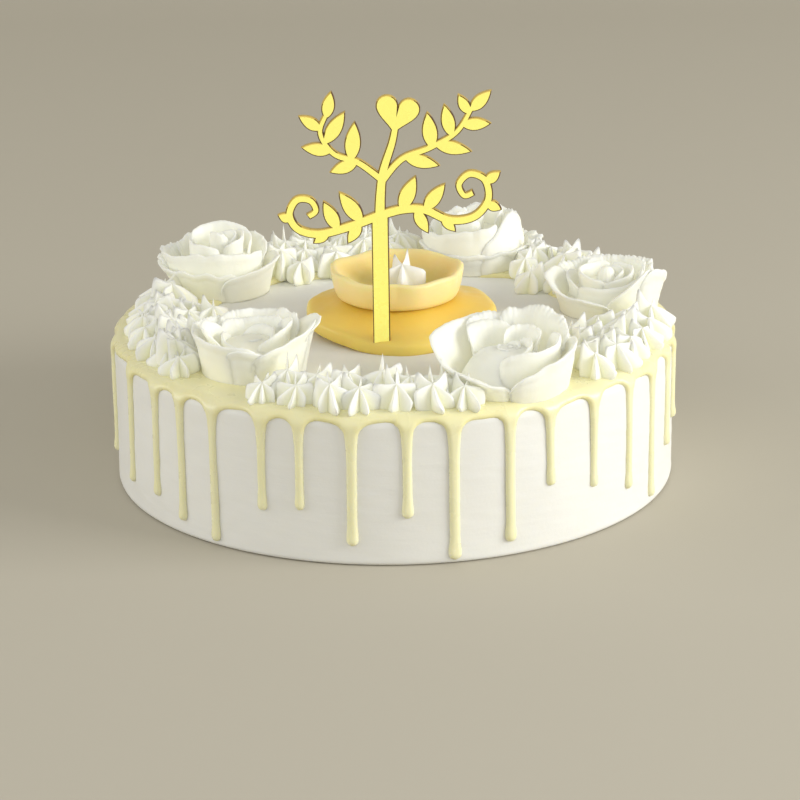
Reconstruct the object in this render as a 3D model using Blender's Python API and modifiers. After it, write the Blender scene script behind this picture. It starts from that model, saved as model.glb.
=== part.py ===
"""Drip cake: a round cream cake with a pale yellow drip glaze, five piped roses,
star dollops piped between them, a two-tier fruit flower in the middle and a flat
scrollwork topper on a stick.

Units: every size below is in millimetres and is scaled to metres when a mesh is
made. Origin at the middle of the flat underside, +Z up, -Y towards the viewer.
Azimuths run from -Y (0 degrees) towards +X (90 degrees).
"""

import math
import random

import bmesh
import bpy
from mathutils import Matrix, Vector
from mathutils.geometry import delaunay_2d_cdt

MM = 0.001

# ---------------------------------------------------------------- driving sizes
CAKE_R = 110.0  # frosted radius
CAKE_H = 57.5  # top of the frosting
EDGE_R = 4.0  # rounding of the top edge
FOOT_R = 1.0  # rounding at the foot
STEPS = 64  # facets round the cake

GAP = 0.3  # clearance between touching pieces
GLAZE_T = 1.4  # glaze thickness on the top
GLAZE_INNER_R = 79.0  # where the glaze ring stops on the top
GLAZE_LIP_Z = 54.2  # lower edge of the glaze between two drips
DRIP_W = 3.9  # width of a drip
DRIP_D = 1.5  # how far a drip stands out

TOP_Z = CAKE_H + GAP  # what stands on the bare frosting starts here
DECO_Z = CAKE_H + GAP + GLAZE_T + GAP  # what stands on the glaze starts here

STICK_X = -4.5
STICK_W = 6.6
TOPPER_Y = -33.0
TOPPER_T = 2.6
STICK_DEPTH = 34.0  # how deep the stick goes below the top

# ------------------------------------------------------------------- the drips
# Azimuth and tip height of the drips on the shown half; the other half continues
# in the same uneven rhythm.
SHOWN_DRIPS = (
    (-84.8, 10.7), (-66.5, 10.0), (-55.2, 11.2), (-46.9, 5.7), (-37.9, 1.8),
    (-26.6, 18.3), (-18.7, 20.4), (-8.3, 7.7), (2.3, 18.7), (11.4, 1.4),
    (22.7, 5.7), (31.5, 24.7), (42.6, 19.2), (53.5, 12.5), (63.1, 3.2),
    (73.1, 17.7), (81.2, 23.8),
)

# ------------------------------------------------------------------- the roses
# name: centre x, y, overall diameter, height, turn in degrees, number of outer
# petals, seed of its unevenness
ROSES = {
    "rose_back_left": (-70.0, 52.0, 51.0, 26.0, 20.0, 5, 4),
    "rose_front_left": (-53.8, -54.6, 50.0, 21.0, 250.0, 5, 7),
    "rose_back_right": (34.3, 83.7, 54.0, 25.0, 140.0, 5, 8),
    "rose_right": (85.0, 19.3, 48.5, 19.5, 75.0, 4, 5),
    "rose_front_right": (42.5, -75.0, 54.0, 24.0, 200.0, 5, 9),
}

# --------------------------------------------------------------- star clusters
# Each row: radius of the row, first azimuth, last azimuth, number of dollops,
# dollop width, dollop height.
CLUSTERS = {
    "star_cluster_front": (
        (100.8, -28.0, 17.5, 7, 17.0, 13.5),
        (88.0, -23.5, 8.0, 5, 17.0, 15.5),
    ),
    "star_cluster_left": (
        (100.8, -52.0, -116.0, 10, 16.5, 14.0),
        (87.5, -67.0, -104.0, 5, 17.0, 17.0),
        (74.0, -74.0, -98.0, 3, 16.5, 15.0),
    ),
    "star_cluster_back": (
        (100.8, 180.0, 219.0, 6, 16.5, 14.0),
        (88.0, 180.0, 217.0, 5, 17.0, 17.5),
        (76.0, 184.0, 214.0, 4, 16.0, 14.5),
    ),
    "star_cluster_back_right": (
        (100.8, 124.0, 139.0, 3, 16.5, 14.5),
        (88.0, 125.0, 138.0, 2, 18.5, 16.5),
    ),
    "star_cluster_right": (
        (100.8, 50.0, 83.0, 5, 17.0, 14.0),
        (88.0, 54.0, 79.0, 4, 17.0, 16.5),
        (75.0, 60.0, 74.0, 2, 16.5, 14.0),
    ),
}

# ------------------------------------------------------------- the fruit flower
FLOWER_X, FLOWER_Y = 3.0, 3.0
BASE_R = 38.5  # lower tier, overall radius
BASE_RIM_T = 3.0  # thickness of the lower tier at its rim
BASE_H = 11.0  # lower tier, height at its middle
CUP_R = 26.5  # upper tier, radius at its rim
CUP_FOOT_R = 20.5
CUP_H = 10.0
CUP_WALL = 2.4
CREAM_STAR_W = 15.0
CREAM_STAR_H = 12.0

random.seed(37)

# ------------------------------------------------------------------- the scene
for old in list(bpy.data.objects):
    bpy.data.objects.remove(old, do_unlink=True)

cake = bpy.data.collections.new("drip_cake")
helpers = bpy.data.collections.new("cutters")
bpy.context.scene.collection.children.link(cake)
bpy.context.scene.collection.children.link(helpers)
helpers.hide_render = True


def material(name, colour, roughness, metallic=0.0):
    made = bpy.data.materials.new(name)
    made.use_nodes = True
    shader = made.node_tree.nodes["Principled BSDF"]
    shader.inputs["Base Color"].default_value = (*colour, 1.0)
    shader.inputs["Roughness"].default_value = roughness
    shader.inputs["Metallic"].default_value = metallic
    made.diffuse_color = (*colour, 1.0)
    return made


FROSTING = material("frosting", (0.86, 0.85, 0.78), 0.55)
GLAZE = material("glaze", (0.90, 0.86, 0.47), 0.28)
ROSE_CREAM = material("rose_cream", (0.89, 0.88, 0.78), 0.5)
STAR_CREAM = material("star_cream", (0.88, 0.87, 0.76), 0.5)
FRUIT_LOW = material("fruit_base", (0.80, 0.53, 0.10), 0.3)
FRUIT_HIGH = material("fruit_cup", (0.82, 0.64, 0.25), 0.3)
CREAM = material("middle_cream", (0.90, 0.89, 0.82), 0.5)
GOLD = material("topper_gold", (0.93, 0.78, 0.20), 0.15, 1.0)


def polar(azimuth, radius):
    a = math.radians(azimuth)
    return radius * math.sin(a), -radius * math.cos(a)


def put(mesh, name, mat, helper=False, smooth=False):
    obj = bpy.data.objects.new(name, mesh)
    (helpers if helper else cake).objects.link(obj)
    if mat is not None:
        mesh.materials.append(mat)
    if smooth:
        for face in mesh.polygons:
            face.use_smooth = True
    if helper:
        obj.hide_render = True
        obj.display_type = "WIRE"
    return obj


def turned(name, profile, steps, mat=None, helper=False, closed=False):
    """A profile in the XZ plane, given from the top down its outer side, turned round Z."""
    bm = bmesh.new()
    verts = [bm.verts.new((r * MM, 0.0, z * MM)) for r, z in profile]
    for one, two in zip(verts, verts[1:] + (verts[:1] if closed else [])):
        bm.edges.new((one, two))
    mesh = bpy.data.meshes.new(name)
    bm.to_mesh(mesh)
    bm.free()
    obj = put(mesh, name, mat, helper)
    screw = obj.modifiers.new("turn", "SCREW")
    screw.axis = "Z"
    screw.angle = 2 * math.pi
    screw.steps = screw.render_steps = steps
    screw.use_merge_vertices = True
    screw.merge_threshold = 0.00001
    screw.use_smooth_shade = True
    return obj


def boolean(obj, operation, operand):
    mod = obj.modifiers.new(operation.lower(), "BOOLEAN")
    mod.solver = "EXACT"
    mod.operation = operation
    if isinstance(operand, bpy.types.Collection):
        mod.operand_type = "COLLECTION"
        mod.collection = operand
    else:
        mod.object = operand
    return mod


def lighter(obj, ratio):
    """Drops the short edges that joining leaves behind."""
    mod = obj.modifiers.new("lighter", "DECIMATE")
    mod.decimate_type = "COLLAPSE"
    mod.ratio = ratio
    mod.use_collapse_triangulate = True
    return mod


def box(name, size, centre, helper=True, mat=None):
    bm = bmesh.new()
    bmesh.ops.create_cube(bm, size=1.0)
    bmesh.ops.scale(bm, vec=Vector(size) * MM, verts=bm.verts)
    bmesh.ops.translate(bm, vec=Vector(centre) * MM, verts=bm.verts)
    mesh = bpy.data.meshes.new(name)
    bm.to_mesh(mesh)
    bm.free()
    return put(mesh, name, mat, helper)


def settle(obj, least=2.0):
    """Makes the modified shape the object's own mesh and keeps its outer skin: a pocket
    closed in between petals, or a crumb under least cubic millimetres, is dropped."""
    bpy.context.view_layer.update()
    graph = bpy.context.evaluated_depsgraph_get()
    mesh = bpy.data.meshes.new_from_object(obj.evaluated_get(graph))
    obj.modifiers.clear()
    bm = bmesh.new()
    bm.from_mesh(mesh)
    bmesh.ops.remove_doubles(bm, verts=bm.verts, dist=0.000001)
    bmesh.ops.triangulate(bm, faces=bm.faces)
    left = set(bm.faces)
    while left:
        island, edge = set(), [left.pop()]
        while edge:
            face = edge.pop()
            island.add(face)
            for side in face.edges:
                for other in side.link_faces:
                    if other in left:
                        left.discard(other)
                        edge.append(other)
        volume = sum(
            f.verts[0].co.dot(f.verts[1].co.cross(f.verts[2].co)) / 6 for f in island
        )
        if volume < least * 1e-9:
            bmesh.ops.delete(bm, geom=list(island), context="FACES")
            left = {f for f in left if f.is_valid}
    bm.to_mesh(mesh)
    bm.free()
    obj.data = mesh
    return obj


def group(name):
    made = bpy.data.collections.new(name)
    helpers.children.link(made)
    made.hide_render = True
    return made


def into(collection, obj):
    helpers.objects.unlink(obj)
    collection.objects.link(obj)


def arc(cx, cz, radius, first, last, count):
    points = []
    for k in range(count + 1):
        a = math.radians(first + (last - first) * k / count)
        points.append((cx + radius * math.cos(a), cz + radius * math.sin(a)))
    return points


def side_profile(extra):
    """The frosted outline from the middle of the top to the foot, moved out by extra."""
    points = [(0.0, CAKE_H + extra)]
    points += arc(CAKE_R - EDGE_R, CAKE_H - EDGE_R, EDGE_R + extra, 90, 0, 2)
    return points


# ------------------------------------------------------------------- cake body
body_profile = side_profile(0.0) + [
    (CAKE_R, FOOT_R),
    (CAKE_R - FOOT_R, 0.0),
    (0.0, 0.0),
]
cake_body = turned("cake_body", body_profile, STEPS, FROSTING)
slot = box(
    "stick_slot",
    (STICK_W + 2 * GAP, TOPPER_T + 2 * GAP, STICK_DEPTH + GAP + 40.0),
    (STICK_X, TOPPER_Y, CAKE_H - STICK_DEPTH - GAP + (STICK_DEPTH + GAP + 40.0) / 2),
)
boolean(cake_body, "DIFFERENCE", slot)

# ------------------------------------------------------------------ drip glaze
glaze_top = TOP_Z + GLAZE_T
out = GAP + GLAZE_T
ring_profile = [(GLAZE_INNER_R, TOP_Z - 2.0), (GLAZE_INNER_R + 0.4, glaze_top)]
ring_profile += arc(CAKE_R - EDGE_R, CAKE_H - EDGE_R, EDGE_R + out, 90, 0, 2)
ring_profile += [(CAKE_R + out - 0.5, GLAZE_LIP_Z - 1.0), (CAKE_R - 2.0, GLAZE_LIP_Z - 1.0)]
ring_profile += [(CAKE_R - 2.0, CAKE_H - EDGE_R), (CAKE_R - EDGE_R - 1.0, TOP_Z - 2.0)]
drip_glaze = turned("drip_glaze", ring_profile, STEPS, GLAZE, closed=True)

drips = group("drips")
spread = [(a, z) for a, z in SHOWN_DRIPS]
azimuth = SHOWN_DRIPS[-1][0]
rng = random.Random(5)
hidden_count = 17
hidden_step = (360.0 + SHOWN_DRIPS[0][0] - azimuth) / (hidden_count + 1)
for k in range(1, hidden_count + 1):
    spread.append(
        (azimuth + k * hidden_step + rng.uniform(-1.6, 1.6), 4.0 + 22.0 * rng.random())
    )
half = DRIP_W / 2
for k, (a, tip) in enumerate(spread):
    width = half * rng.uniform(0.93, 1.08)
    outline = [
        (0.0, GLAZE_LIP_Z + 1.0),
        (width * 1.5, GLAZE_LIP_Z + 0.4),
        (width * 0.95, GLAZE_LIP_Z - 4.6),
        (width * 1.08, tip + 2.2),
        (0.0, tip),
    ]
    drip = turned("drip_%02d" % (k + 1), outline, 6, helper=True)
    x, y = polar(a, CAKE_R + GAP)
    drip.location = (x * MM, y * MM, 0.0)
    drip.rotation_euler = (0.0, 0.0, math.radians(a))
    drip.scale = (1.0, DRIP_D / width, 1.0)
    into(drips, drip)
under_glaze = turned(
    "under_glaze",
    side_profile(GAP) + [(CAKE_R + GAP, -5.0), (0.0, -5.0)],
    STEPS,
    helper=True,
)
boolean(drip_glaze, "UNION", drips)
boolean(drip_glaze, "DIFFERENCE", under_glaze)
lighter(drip_glaze, 0.72)


# ----------------------------------------------------------------------- roses
def petal(name, spec, across=6, up=3):
    """One petal: a curved sheet standing on a ring, leaning out towards its rim."""
    turn, span, foot_r, rim_r, foot_z, height, tuck, thick = spec
    bm = bmesh.new()
    grid = []
    for j in range(up + 1):
        v = j / up
        row = []
        for i in range(across + 1):
            u = 2.0 * i / across - 1.0
            tall = height * (1.0 - 0.42 * abs(u) ** 2.4)
            r = foot_r + (rim_r - foot_r) * v**1.35 + tuck * u * (0.4 + 0.6 * v)
            a = math.radians(turn + span * u / 2 * (1.0 - 0.10 * v))
            row.append(
                bm.verts.new(
                    (r * math.sin(a) * MM, -r * math.cos(a) * MM, (foot_z + tall * v) * MM)
                )
            )
        grid.append(row)
    for low, high in zip(grid, grid[1:]):
        for i in range(across):
            bm.faces.new((low[i], low[i + 1], high[i + 1], high[i]))
    mesh = bpy.data.meshes.new(name)
    bm.to_mesh(mesh)
    bm.free()
    obj = put(mesh, name, None, helper=True)
    solid = obj.modifiers.new("thickness", "SOLIDIFY")
    solid.thickness = thick * MM
    solid.offset = 0.0
    solid.use_even_offset = False
    return obj


def rose(name, x, y, across, height, turn, outer_count, seed):
    rng = random.Random(name + str(seed))
    r = across / 2 - 1.0
    low = -1.5
    core = turned(
        name,
        [
            (0.0, height * 0.93),
            (r * 0.17, height * 0.84),
            (r * 0.26, height * 0.50),
            (r * 0.60, height * 0.28),
            (r * 0.78, 1.6),
            (r * 0.80, low),
            (0.0, low),
        ],
        10,
        ROSE_CREAM,
    )
    petals = group(name + "_petals")
    rows = [
        # count, foot radius, rim radius, height, span, tuck
        (3, 0.36, 0.56, 0.96, 132.0, 0.07),
        (outer_count, 0.68, 0.93, 0.78, 360.0 / outer_count * 1.32, 0.06),
    ]
    k = 0
    for row, (count, foot, rim, tall, span, tuck) in enumerate(rows):
        for i in range(count):
            k += 1
            a = turn + row * 47.0 + 360.0 * i / count + rng.uniform(-8, 8)
            top = height * tall * rng.uniform(0.92, 1.0)
            spec = (a, span, r * foot, r * rim, low, top - low, r * tuck, 2.2 - 0.2 * row)
            one = petal("%s_petal_%d" % (name, k), spec, 4, 2)
            one.location = (x * MM, y * MM, DECO_Z * MM)
            into(petals, one)
    core.location = (x * MM, y * MM, DECO_Z * MM)
    boolean(core, "UNION", petals)
    boolean(core, "DIFFERENCE", rose_floor)
    lighter(core, 0.72)
    return settle(core)


rose_floor = box("rose_floor", (400.0, 400.0, 20.0), (0.0, 0.0, DECO_Z - 10.0))
for name, spec in ROSES.items():
    rose(name, *spec)

rose_spaces = group("rose_spaces")
for name, (x, y, across, height, turn, _, _) in ROSES.items():
    r = across / 2 + 1.2
    space = turned(
        name + "_space",
        [(0.0, 60.0), (r, 60.0), (r, -10.0), (0.0, -10.0)],
        20,
        helper=True,
    )
    space.location = (x * MM, y * MM, DECO_Z * MM)
    into(rose_spaces, space)


# --------------------------------------------------------------- star clusters
def dollop(name, width, height, sides, mat=None, helper=True):
    return turned(
        name,
        [
            (0.0, height),
            (width * 0.24, height * 0.55),
            (width * 0.50, height * 0.16),
            (width * 0.44, -1.0),
            (0.0, -1.0),
        ],
        sides,
        mat,
        helper,
    )


def cluster(name, rows):
    rng = random.Random(name)
    members = []
    for radius, first, last, count, width, height in rows:
        for i in range(count):
            t = i / (count - 1) if count > 1 else 0.5
            a = first + (last - first) * t + rng.uniform(-0.7, 0.7)
            x, y = polar(a, radius + rng.uniform(-0.8, 0.8))
            size = rng.uniform(0.92, 1.04)
            members.append((x, y, width * size, height * size * rng.uniform(0.92, 1.05)))
    others = group(name + "_dollops")
    made = None
    for k, (x, y, width, height) in enumerate(members):
        if made is None:
            made = one = dollop(name, width, height, 6, STAR_CREAM, helper=False)
        else:
            one = dollop("%s_%02d" % (name, k + 1), width, height, 6)
            into(others, one)
        one.location = (x * MM, y * MM, DECO_Z * MM)
        one.rotation_euler = (0.0, 0.0, rng.uniform(0, 2 * math.pi))
    boolean(made, "UNION", others)
    boolean(made, "DIFFERENCE", rose_floor)
    boolean(made, "DIFFERENCE", rose_spaces)
    lighter(made, 0.8)
    return settle(made)


for name, rows in CLUSTERS.items():
    cluster(name, rows)


# ---------------------------------------------------------------- fruit flower
def lobed(name, profile, steps, lobes, depth, lift, phase, mat):
    """A turned piece whose rim runs in rounded lobes and rises and falls with them."""
    bm = bmesh.new()
    verts = [bm.verts.new((r * MM, 0.0, z * MM)) for r, z, _ in profile]
    weights = [w for _, _, w in profile]
    edges = [bm.edges.new(pair) for pair in zip(verts, verts[1:])]
    bmesh.ops.spin(
        bm,
        geom=verts + edges,
        cent=(0, 0, 0),
        axis=(0, 0, 1),
        angle=2 * math.pi,
        steps=steps,
        use_merge=True,
    )
    bmesh.ops.remove_doubles(bm, verts=bm.verts, dist=0.00001)
    reach = {}
    for (r, z, w) in profile:
        reach[(round(r, 3), round(z, 3))] = w
    for vert in bm.verts:
        r = math.hypot(vert.co.x, vert.co.y)
        key = (round(r / MM, 3), round(vert.co.z / MM, 3))
        w = reach.get(key)
        if w is None:
            w = min(reach.items(), key=lambda item: abs(item[0][0] - key[0]) + abs(item[0][1] - key[1]))[1]
        if r > 0 and w:
            a = math.atan2(vert.co.x, -vert.co.y)
            wave = abs(math.cos(lobes * (a - math.radians(phase)) / 2)) - 0.6
            vert.co.x *= 1 + depth * w * wave
            vert.co.y *= 1 + depth * w * wave
            vert.co.z += lift * w * MM * (1 - math.cos(2 * a)) / 2
    bmesh.ops.recalc_face_normals(bm, faces=bm.faces)
    mesh = bpy.data.meshes.new(name)
    bm.to_mesh(mesh)
    bm.free()
    obj = put(mesh, name, mat, smooth=True)
    obj.location = (FLOWER_X * MM, FLOWER_Y * MM, 0.0)
    return obj


base_top = TOP_Z + BASE_H
fruit_base = lobed(
    "fruit_base",
    [
        (0.0, base_top, 0.0),
        (CUP_FOOT_R + 1.5, base_top, 0.0),
        (BASE_R - 6.0, TOP_Z + 5.6, 0.6),
        (BASE_R, TOP_Z + BASE_RIM_T, 1.0),
        (BASE_R - 0.6, TOP_Z + 0.6, 1.0),
        (BASE_R - 6.0, TOP_Z, 0.0),
        (0.0, TOP_Z, 0.0),
    ],
    30,
    5,
    0.07,
    3.5,
    0.0,
    FRUIT_LOW,
)
boolean(fruit_base, "DIFFERENCE", slot)

cup_z = base_top + GAP
fruit_cup = lobed(
    "fruit_cup",
    [
        (0.0, cup_z + 3.4, 0.0),
        (CUP_FOOT_R - 3.0, cup_z + 3.6, 0.0),
        (CUP_R - CUP_WALL, cup_z + CUP_H - 0.4, 1.0),
        (CUP_R - CUP_WALL / 2, cup_z + CUP_H, 1.0),
        (CUP_R, cup_z + CUP_H - 0.8, 1.0),
        (CUP_FOOT_R + 1.5, cup_z + 2.5, 0.3),
        (CUP_FOOT_R, cup_z, 0.0),
        (0.0, cup_z, 0.0),
    ],
    30,
    5,
    0.06,
    0.0,
    36.0,
    FRUIT_HIGH,
)

cream_star = turned(
    "cream_star",
    [
        (0.0, CREAM_STAR_H),
        (CREAM_STAR_W * 0.22, CREAM_STAR_H * 0.55),
        (CREAM_STAR_W * 0.50, CREAM_STAR_H * 0.2),
        (CREAM_STAR_W * 0.45, 0.0),
        (0.0, 0.0),
    ],
    12,
    CREAM,
)
cream_star.location = (FLOWER_X * MM, FLOWER_Y * MM, (cup_z + 3.6 + GAP) * MM)


# --------------------------------------------------------------------- topper
def stroke(points, width, end_width=None, samples=10):
    """Outline of a curved stroke: a smooth line through the points, with its width tapering to the end."""
    line = []
    count = len(points) - 1
    for s in range(samples + 1):
        t = s / samples * count
        k = min(int(t), count - 1)
        f = t - k
        p0, p1 = points[max(k - 1, 0)], points[k]
        p2, p3 = points[k + 1], points[min(k + 2, count)]
        line.append(
            tuple(
                0.5
                * (
                    2 * p1[c]
                    + (p2[c] - p0[c]) * f
                    + (2 * p0[c] - 5 * p1[c] + 4 * p2[c] - p3[c]) * f * f
                    + (3 * p1[c] - p0[c] - 3 * p2[c] + p3[c]) * f**3
                )
                for c in (0, 1)
            )
        )
    left, right = [], []
    end_width = width if end_width is None else end_width
    for k, (x, z) in enumerate(line):
        ax, az = line[max(k - 1, 0)]
        bx, bz = line[min(k + 1, samples)]
        d = math.hypot(bx - ax, bz - az)
        nx, nz = -(bz - az) / d, (bx - ax) / d
        w = (width + (end_width - width) * k / samples) / 2
        left.append((x + nx * w, z + nz * w))
        right.append((x - nx * w, z - nz * w))
    return left + right[::-1]


def leaf(x, z, angle, length, width):
    """A pointed leaf from its stalk end at x, z."""
    points = []
    for t, w in ((0.0, 0.18), (0.3, 0.86), (0.52, 1.0), (0.78, 0.62), (1.0, 0.0),
                 (0.78, -0.62), (0.52, -1.0), (0.3, -0.86), (0.0, -0.18)):
        a = math.radians(angle)
        px, pz = t * length, w * width / 2
        points.append(
            (x + px * math.cos(a) - pz * math.sin(a), z + px * math.sin(a) + pz * math.cos(a))
        )
    return points


def heart(x, z, size, tilt):
    points = []
    a = math.radians(tilt)
    for k in range(18):
        t = 2 * math.pi * k / 18
        hx = size * 0.5 * math.sin(t) ** 3
        hz = size * (0.406 * math.cos(t) - 0.156 * math.cos(2 * t) - 0.0625 * math.cos(3 * t)
                     - 0.031 * math.cos(4 * t))
        points.append((x + hx * math.cos(a) - hz * math.sin(a), z + hx * math.sin(a) + hz * math.cos(a)))
    return points


def star(x, z, radius, tilt):
    points = []
    for k in range(10):
        a = math.radians(tilt + 36.0 * k + 90.0)
        r = radius if k % 2 == 0 else radius * 0.45
        points.append((x + r * math.cos(a), z + r * math.sin(a)))
    return points


def topper_outlines():
    """Scrollwork: a scroll on each side of the stem carries leaves, and two leafy sprays with a heart rise above."""
    top = CAKE_H
    left_scroll = [
        (-4.0, 112.9), (-16.0, 108.4), (-27.5, 105.6), (-35.6, 107.6), (-38.8, 113.4), (-36.0, 119.0),
        (-30.8, 118.8), (-28.8, 114.8), (-31.8, 112.4),
    ]
    right_scroll = [
        (-4.5, 112.6), (4.0, 114.8), (12.5, 114.6), (22.0, 110.4), (31.2, 111.6), (36.6, 118.2),
        (35.4, 126.0), (29.6, 128.4), (25.6, 124.4), (27.6, 120.0), (31.2, 121.2),
    ]
    left = [(-4.0, 127.0), (-12.5, 133.5), (-21.5, 137.0), (-26.5, 145.0), (-24.0, 152.5)]
    right = [(-3.5, 126.0), (4.0, 134.5), (15.0, 139.0), (25.0, 145.0), (31.0, 155.0)]
    shapes = [
        stroke([(STICK_X, top - STICK_DEPTH), (STICK_X, 112.6)], STICK_W, samples=1),
        stroke([(STICK_X, 111.0), (-4.2, 120.0), (-3.0, 130.0), (0.5, 141.0), (2.0, 148.5)], 4.6, 2.8, 5),
        stroke(left_scroll, 4.0, 2.6, 22),
        stroke(right_scroll, 4.0, 2.6, 26),
        stroke(left, 3.2, 2.2, 9),
        stroke(right, 3.2, 2.2, 9),
        heart(2.5, 152.5, 17.0, -10.0),
    ]
    for x, z, angle, length, width in (
        # leaves standing on the scrolls
        (-11.5, 110.4, 126.0, 14.5, 6.4), (-20.5, 107.4, 116.0, 12.5, 5.8),
        (3.5, 114.8, 66.0, 14.5, 6.4), (12.5, 114.6, 52.0, 13.0, 5.8),
        # leaves hanging below them
        (-12.0, 109.6, 238.0, 9.5, 5.0), (-24.0, 106.0, 214.0, 7.5, 4.2), (9.0, 114.4, -62.0, 10.5, 5.2),
        (19.0, 111.6, -48.0, 8.0, 4.4),
        # leaves outside their curls
        (-38.2, 111.2, 158.0, 5.6, 4.2), (36.0, 116.8, -24.0, 6.4, 4.4), (35.6, 125.0, 36.0, 7.2, 4.6),
        # the left spray
        (-13.0, 133.4, 200.0, 11.0, 5.4), (-15.0, 134.6, 84.0, 15.0, 6.4), (-22.5, 138.0, 172.0, 11.5, 5.4),
        (-24.4, 141.5, 58.0, 14.0, 6.0), (-26.2, 146.5, 148.0, 10.0, 5.0), (-24.2, 151.0, 78.0, 10.5, 5.2),
        # the right spray
        (5.5, 135.0, -14.0, 13.5, 5.6), (15.5, 139.0, 97.0, 14.0, 6.2), (17.0, 140.0, -12.0, 14.0, 5.6),
        (22.8, 143.6, 102.0, 12.5, 5.6), (27.0, 147.6, 2.0, 11.0, 5.2), (30.2, 153.2, 44.0, 11.0, 5.2),
        (29.4, 152.0, 118.0, 8.5, 4.6),
    ):
        shapes.append(leaf(x, z, angle, length, width))
    return shapes


def within(point, shape):
    inside = False
    for (ax, az), (bx, bz) in zip(shape, shape[1:] + shape[:1]):
        if (az > point.y) != (bz > point.y):
            if point.x < ax + (point.y - az) * (bx - ax) / (bz - az):
                inside = not inside
    return inside


def united(shapes):
    """The outer and inner loops of the union of some flat outlines."""
    points, faces = [], []
    for shape in shapes:
        faces.append(list(range(len(points), len(points) + len(shape))))
        points += [Vector(p) for p in shape]
    verts, _, found, _, _, _ = delaunay_2d_cdt(points, [], faces, 1, 1e-4)
    kept = []
    for face in found:
        middle = sum((verts[k] for k in face), Vector((0.0, 0.0))) / len(face)
        if any(within(middle, shape) for shape in shapes):
            kept.append(face)
    heading = {}
    for face in kept:
        area = sum(
            verts[a].x * verts[b].y - verts[b].x * verts[a].y
            for a, b in zip(face, face[1:] + face[:1])
        )
        ring = list(face) if area > 0 else list(face)[::-1]
        for a, b in zip(ring, ring[1:] + ring[:1]):
            heading[(a, b)] = True
    follow = {}
    for a, b in heading:
        if (b, a) not in heading:
            follow.setdefault(a, []).append(b)
    loops = []
    while follow:
        start = next(iter(follow))
        loop, here, came = [], start, None
        while True:
            nexts = follow[here]
            pick = nexts[0]
            if len(nexts) > 1 and came is not None:
                back = verts[came] - verts[here]

                def turn(n):
                    ahead = verts[n] - verts[here]
                    return math.atan2(back.x * ahead.y - back.y * ahead.x, back.dot(ahead)) % (2 * math.pi)

                pick = min(nexts, key=turn)
            nexts.remove(pick)
            if not nexts:
                del follow[here]
            loop.append(here)
            came, here = here, pick
            if here == start:
                break
        loops.append([verts[k] for k in loop])
    return loops


def simplified(loop, reach):
    """Drops points that lie closer than reach to the line between their neighbours."""
    points = list(loop)
    changed = True
    while changed and len(points) > 4:
        changed = False
        for k in range(len(points)):
            a, b, c = points[k - 1], points[k], points[(k + 1) % len(points)]
            chord = c - a
            if chord.length < 1e-9:
                continue
            off = abs(chord.x * (b.y - a.y) - chord.y * (b.x - a.x)) / chord.length
            if off < reach or (b - a).length < 0.25:
                points.pop(k)
                changed = True
                break
    return points


curve = bpy.data.curves.new("topper_outline", "CURVE")
curve.dimensions = "2D"
curve.fill_mode = "BOTH"
curve.extrude = TOPPER_T / 2 * MM
for loop in united(topper_outlines()):
    area = abs(sum(a.x * b.y - b.x * a.y for a, b in zip(loop, loop[1:] + loop[:1]))) / 2
    if area < 3.0:
        continue
    kept = simplified(loop, 0.15)
    spline = curve.splines.new("POLY")
    spline.points.add(len(kept) - 1)
    spline.use_cyclic_u = True
    for point, place in zip(spline.points, kept):
        point.co = (place.x * MM, place.y * MM, 0.0, 1.0)
flat = bpy.data.objects.new("topper_flat", curve)
flat.rotation_euler = (math.radians(90.0), 0.0, 0.0)
flat.location = (0.0, TOPPER_Y * MM, 0.0)
cake.objects.link(flat)
bpy.context.view_layer.update()
graph = bpy.context.evaluated_depsgraph_get()
mesh = bpy.data.meshes.new_from_object(flat.evaluated_get(graph))
bm = bmesh.new()
bm.from_mesh(mesh)
bmesh.ops.remove_doubles(bm, verts=bm.verts, dist=0.000001)
bmesh.ops.recalc_face_normals(bm, faces=bm.faces)
bm.to_mesh(mesh)
bm.free()
mesh.materials.clear()
topper = put(mesh, "topper", GOLD)
topper.matrix_world = flat.matrix_world
bpy.data.objects.remove(flat, do_unlink=True)
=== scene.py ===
"""Looks of the drip cake: frosting, drip glaze, piped roses, star dollops, fruit
flower, cream star and topper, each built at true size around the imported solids.

Sizes are in millimetres and are scaled to metres when a mesh is made. Azimuths run
from -Y (0 degrees, towards the viewer) towards +X (90 degrees).
"""

import math
import random

import bmesh
import bpy
import numpy as np
from mathutils import Matrix, Vector
from mathutils.geometry import delaunay_2d_cdt


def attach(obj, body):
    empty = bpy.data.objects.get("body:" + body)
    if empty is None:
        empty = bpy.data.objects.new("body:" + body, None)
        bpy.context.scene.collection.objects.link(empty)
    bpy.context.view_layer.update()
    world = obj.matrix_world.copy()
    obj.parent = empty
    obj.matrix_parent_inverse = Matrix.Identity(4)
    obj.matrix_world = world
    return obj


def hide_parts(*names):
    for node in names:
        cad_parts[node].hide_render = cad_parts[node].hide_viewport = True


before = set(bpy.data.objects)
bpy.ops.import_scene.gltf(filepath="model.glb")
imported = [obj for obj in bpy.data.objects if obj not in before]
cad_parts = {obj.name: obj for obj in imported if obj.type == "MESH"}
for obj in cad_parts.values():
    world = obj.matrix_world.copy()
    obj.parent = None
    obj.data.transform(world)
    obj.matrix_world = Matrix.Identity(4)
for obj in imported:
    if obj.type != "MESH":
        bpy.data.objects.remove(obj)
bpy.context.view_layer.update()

MM = 0.001

CAKE_R = 110.0
CAKE_H = 57.5
EDGE_R = 4.0
STICK_X = -4.5
STICK_W = 6.6
STICK_DEPTH = 34.0
TOPPER_Y = -33.0
TOPPER_T = 2.6
FLOWER_X, FLOWER_Y = 3.0, 3.0


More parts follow.
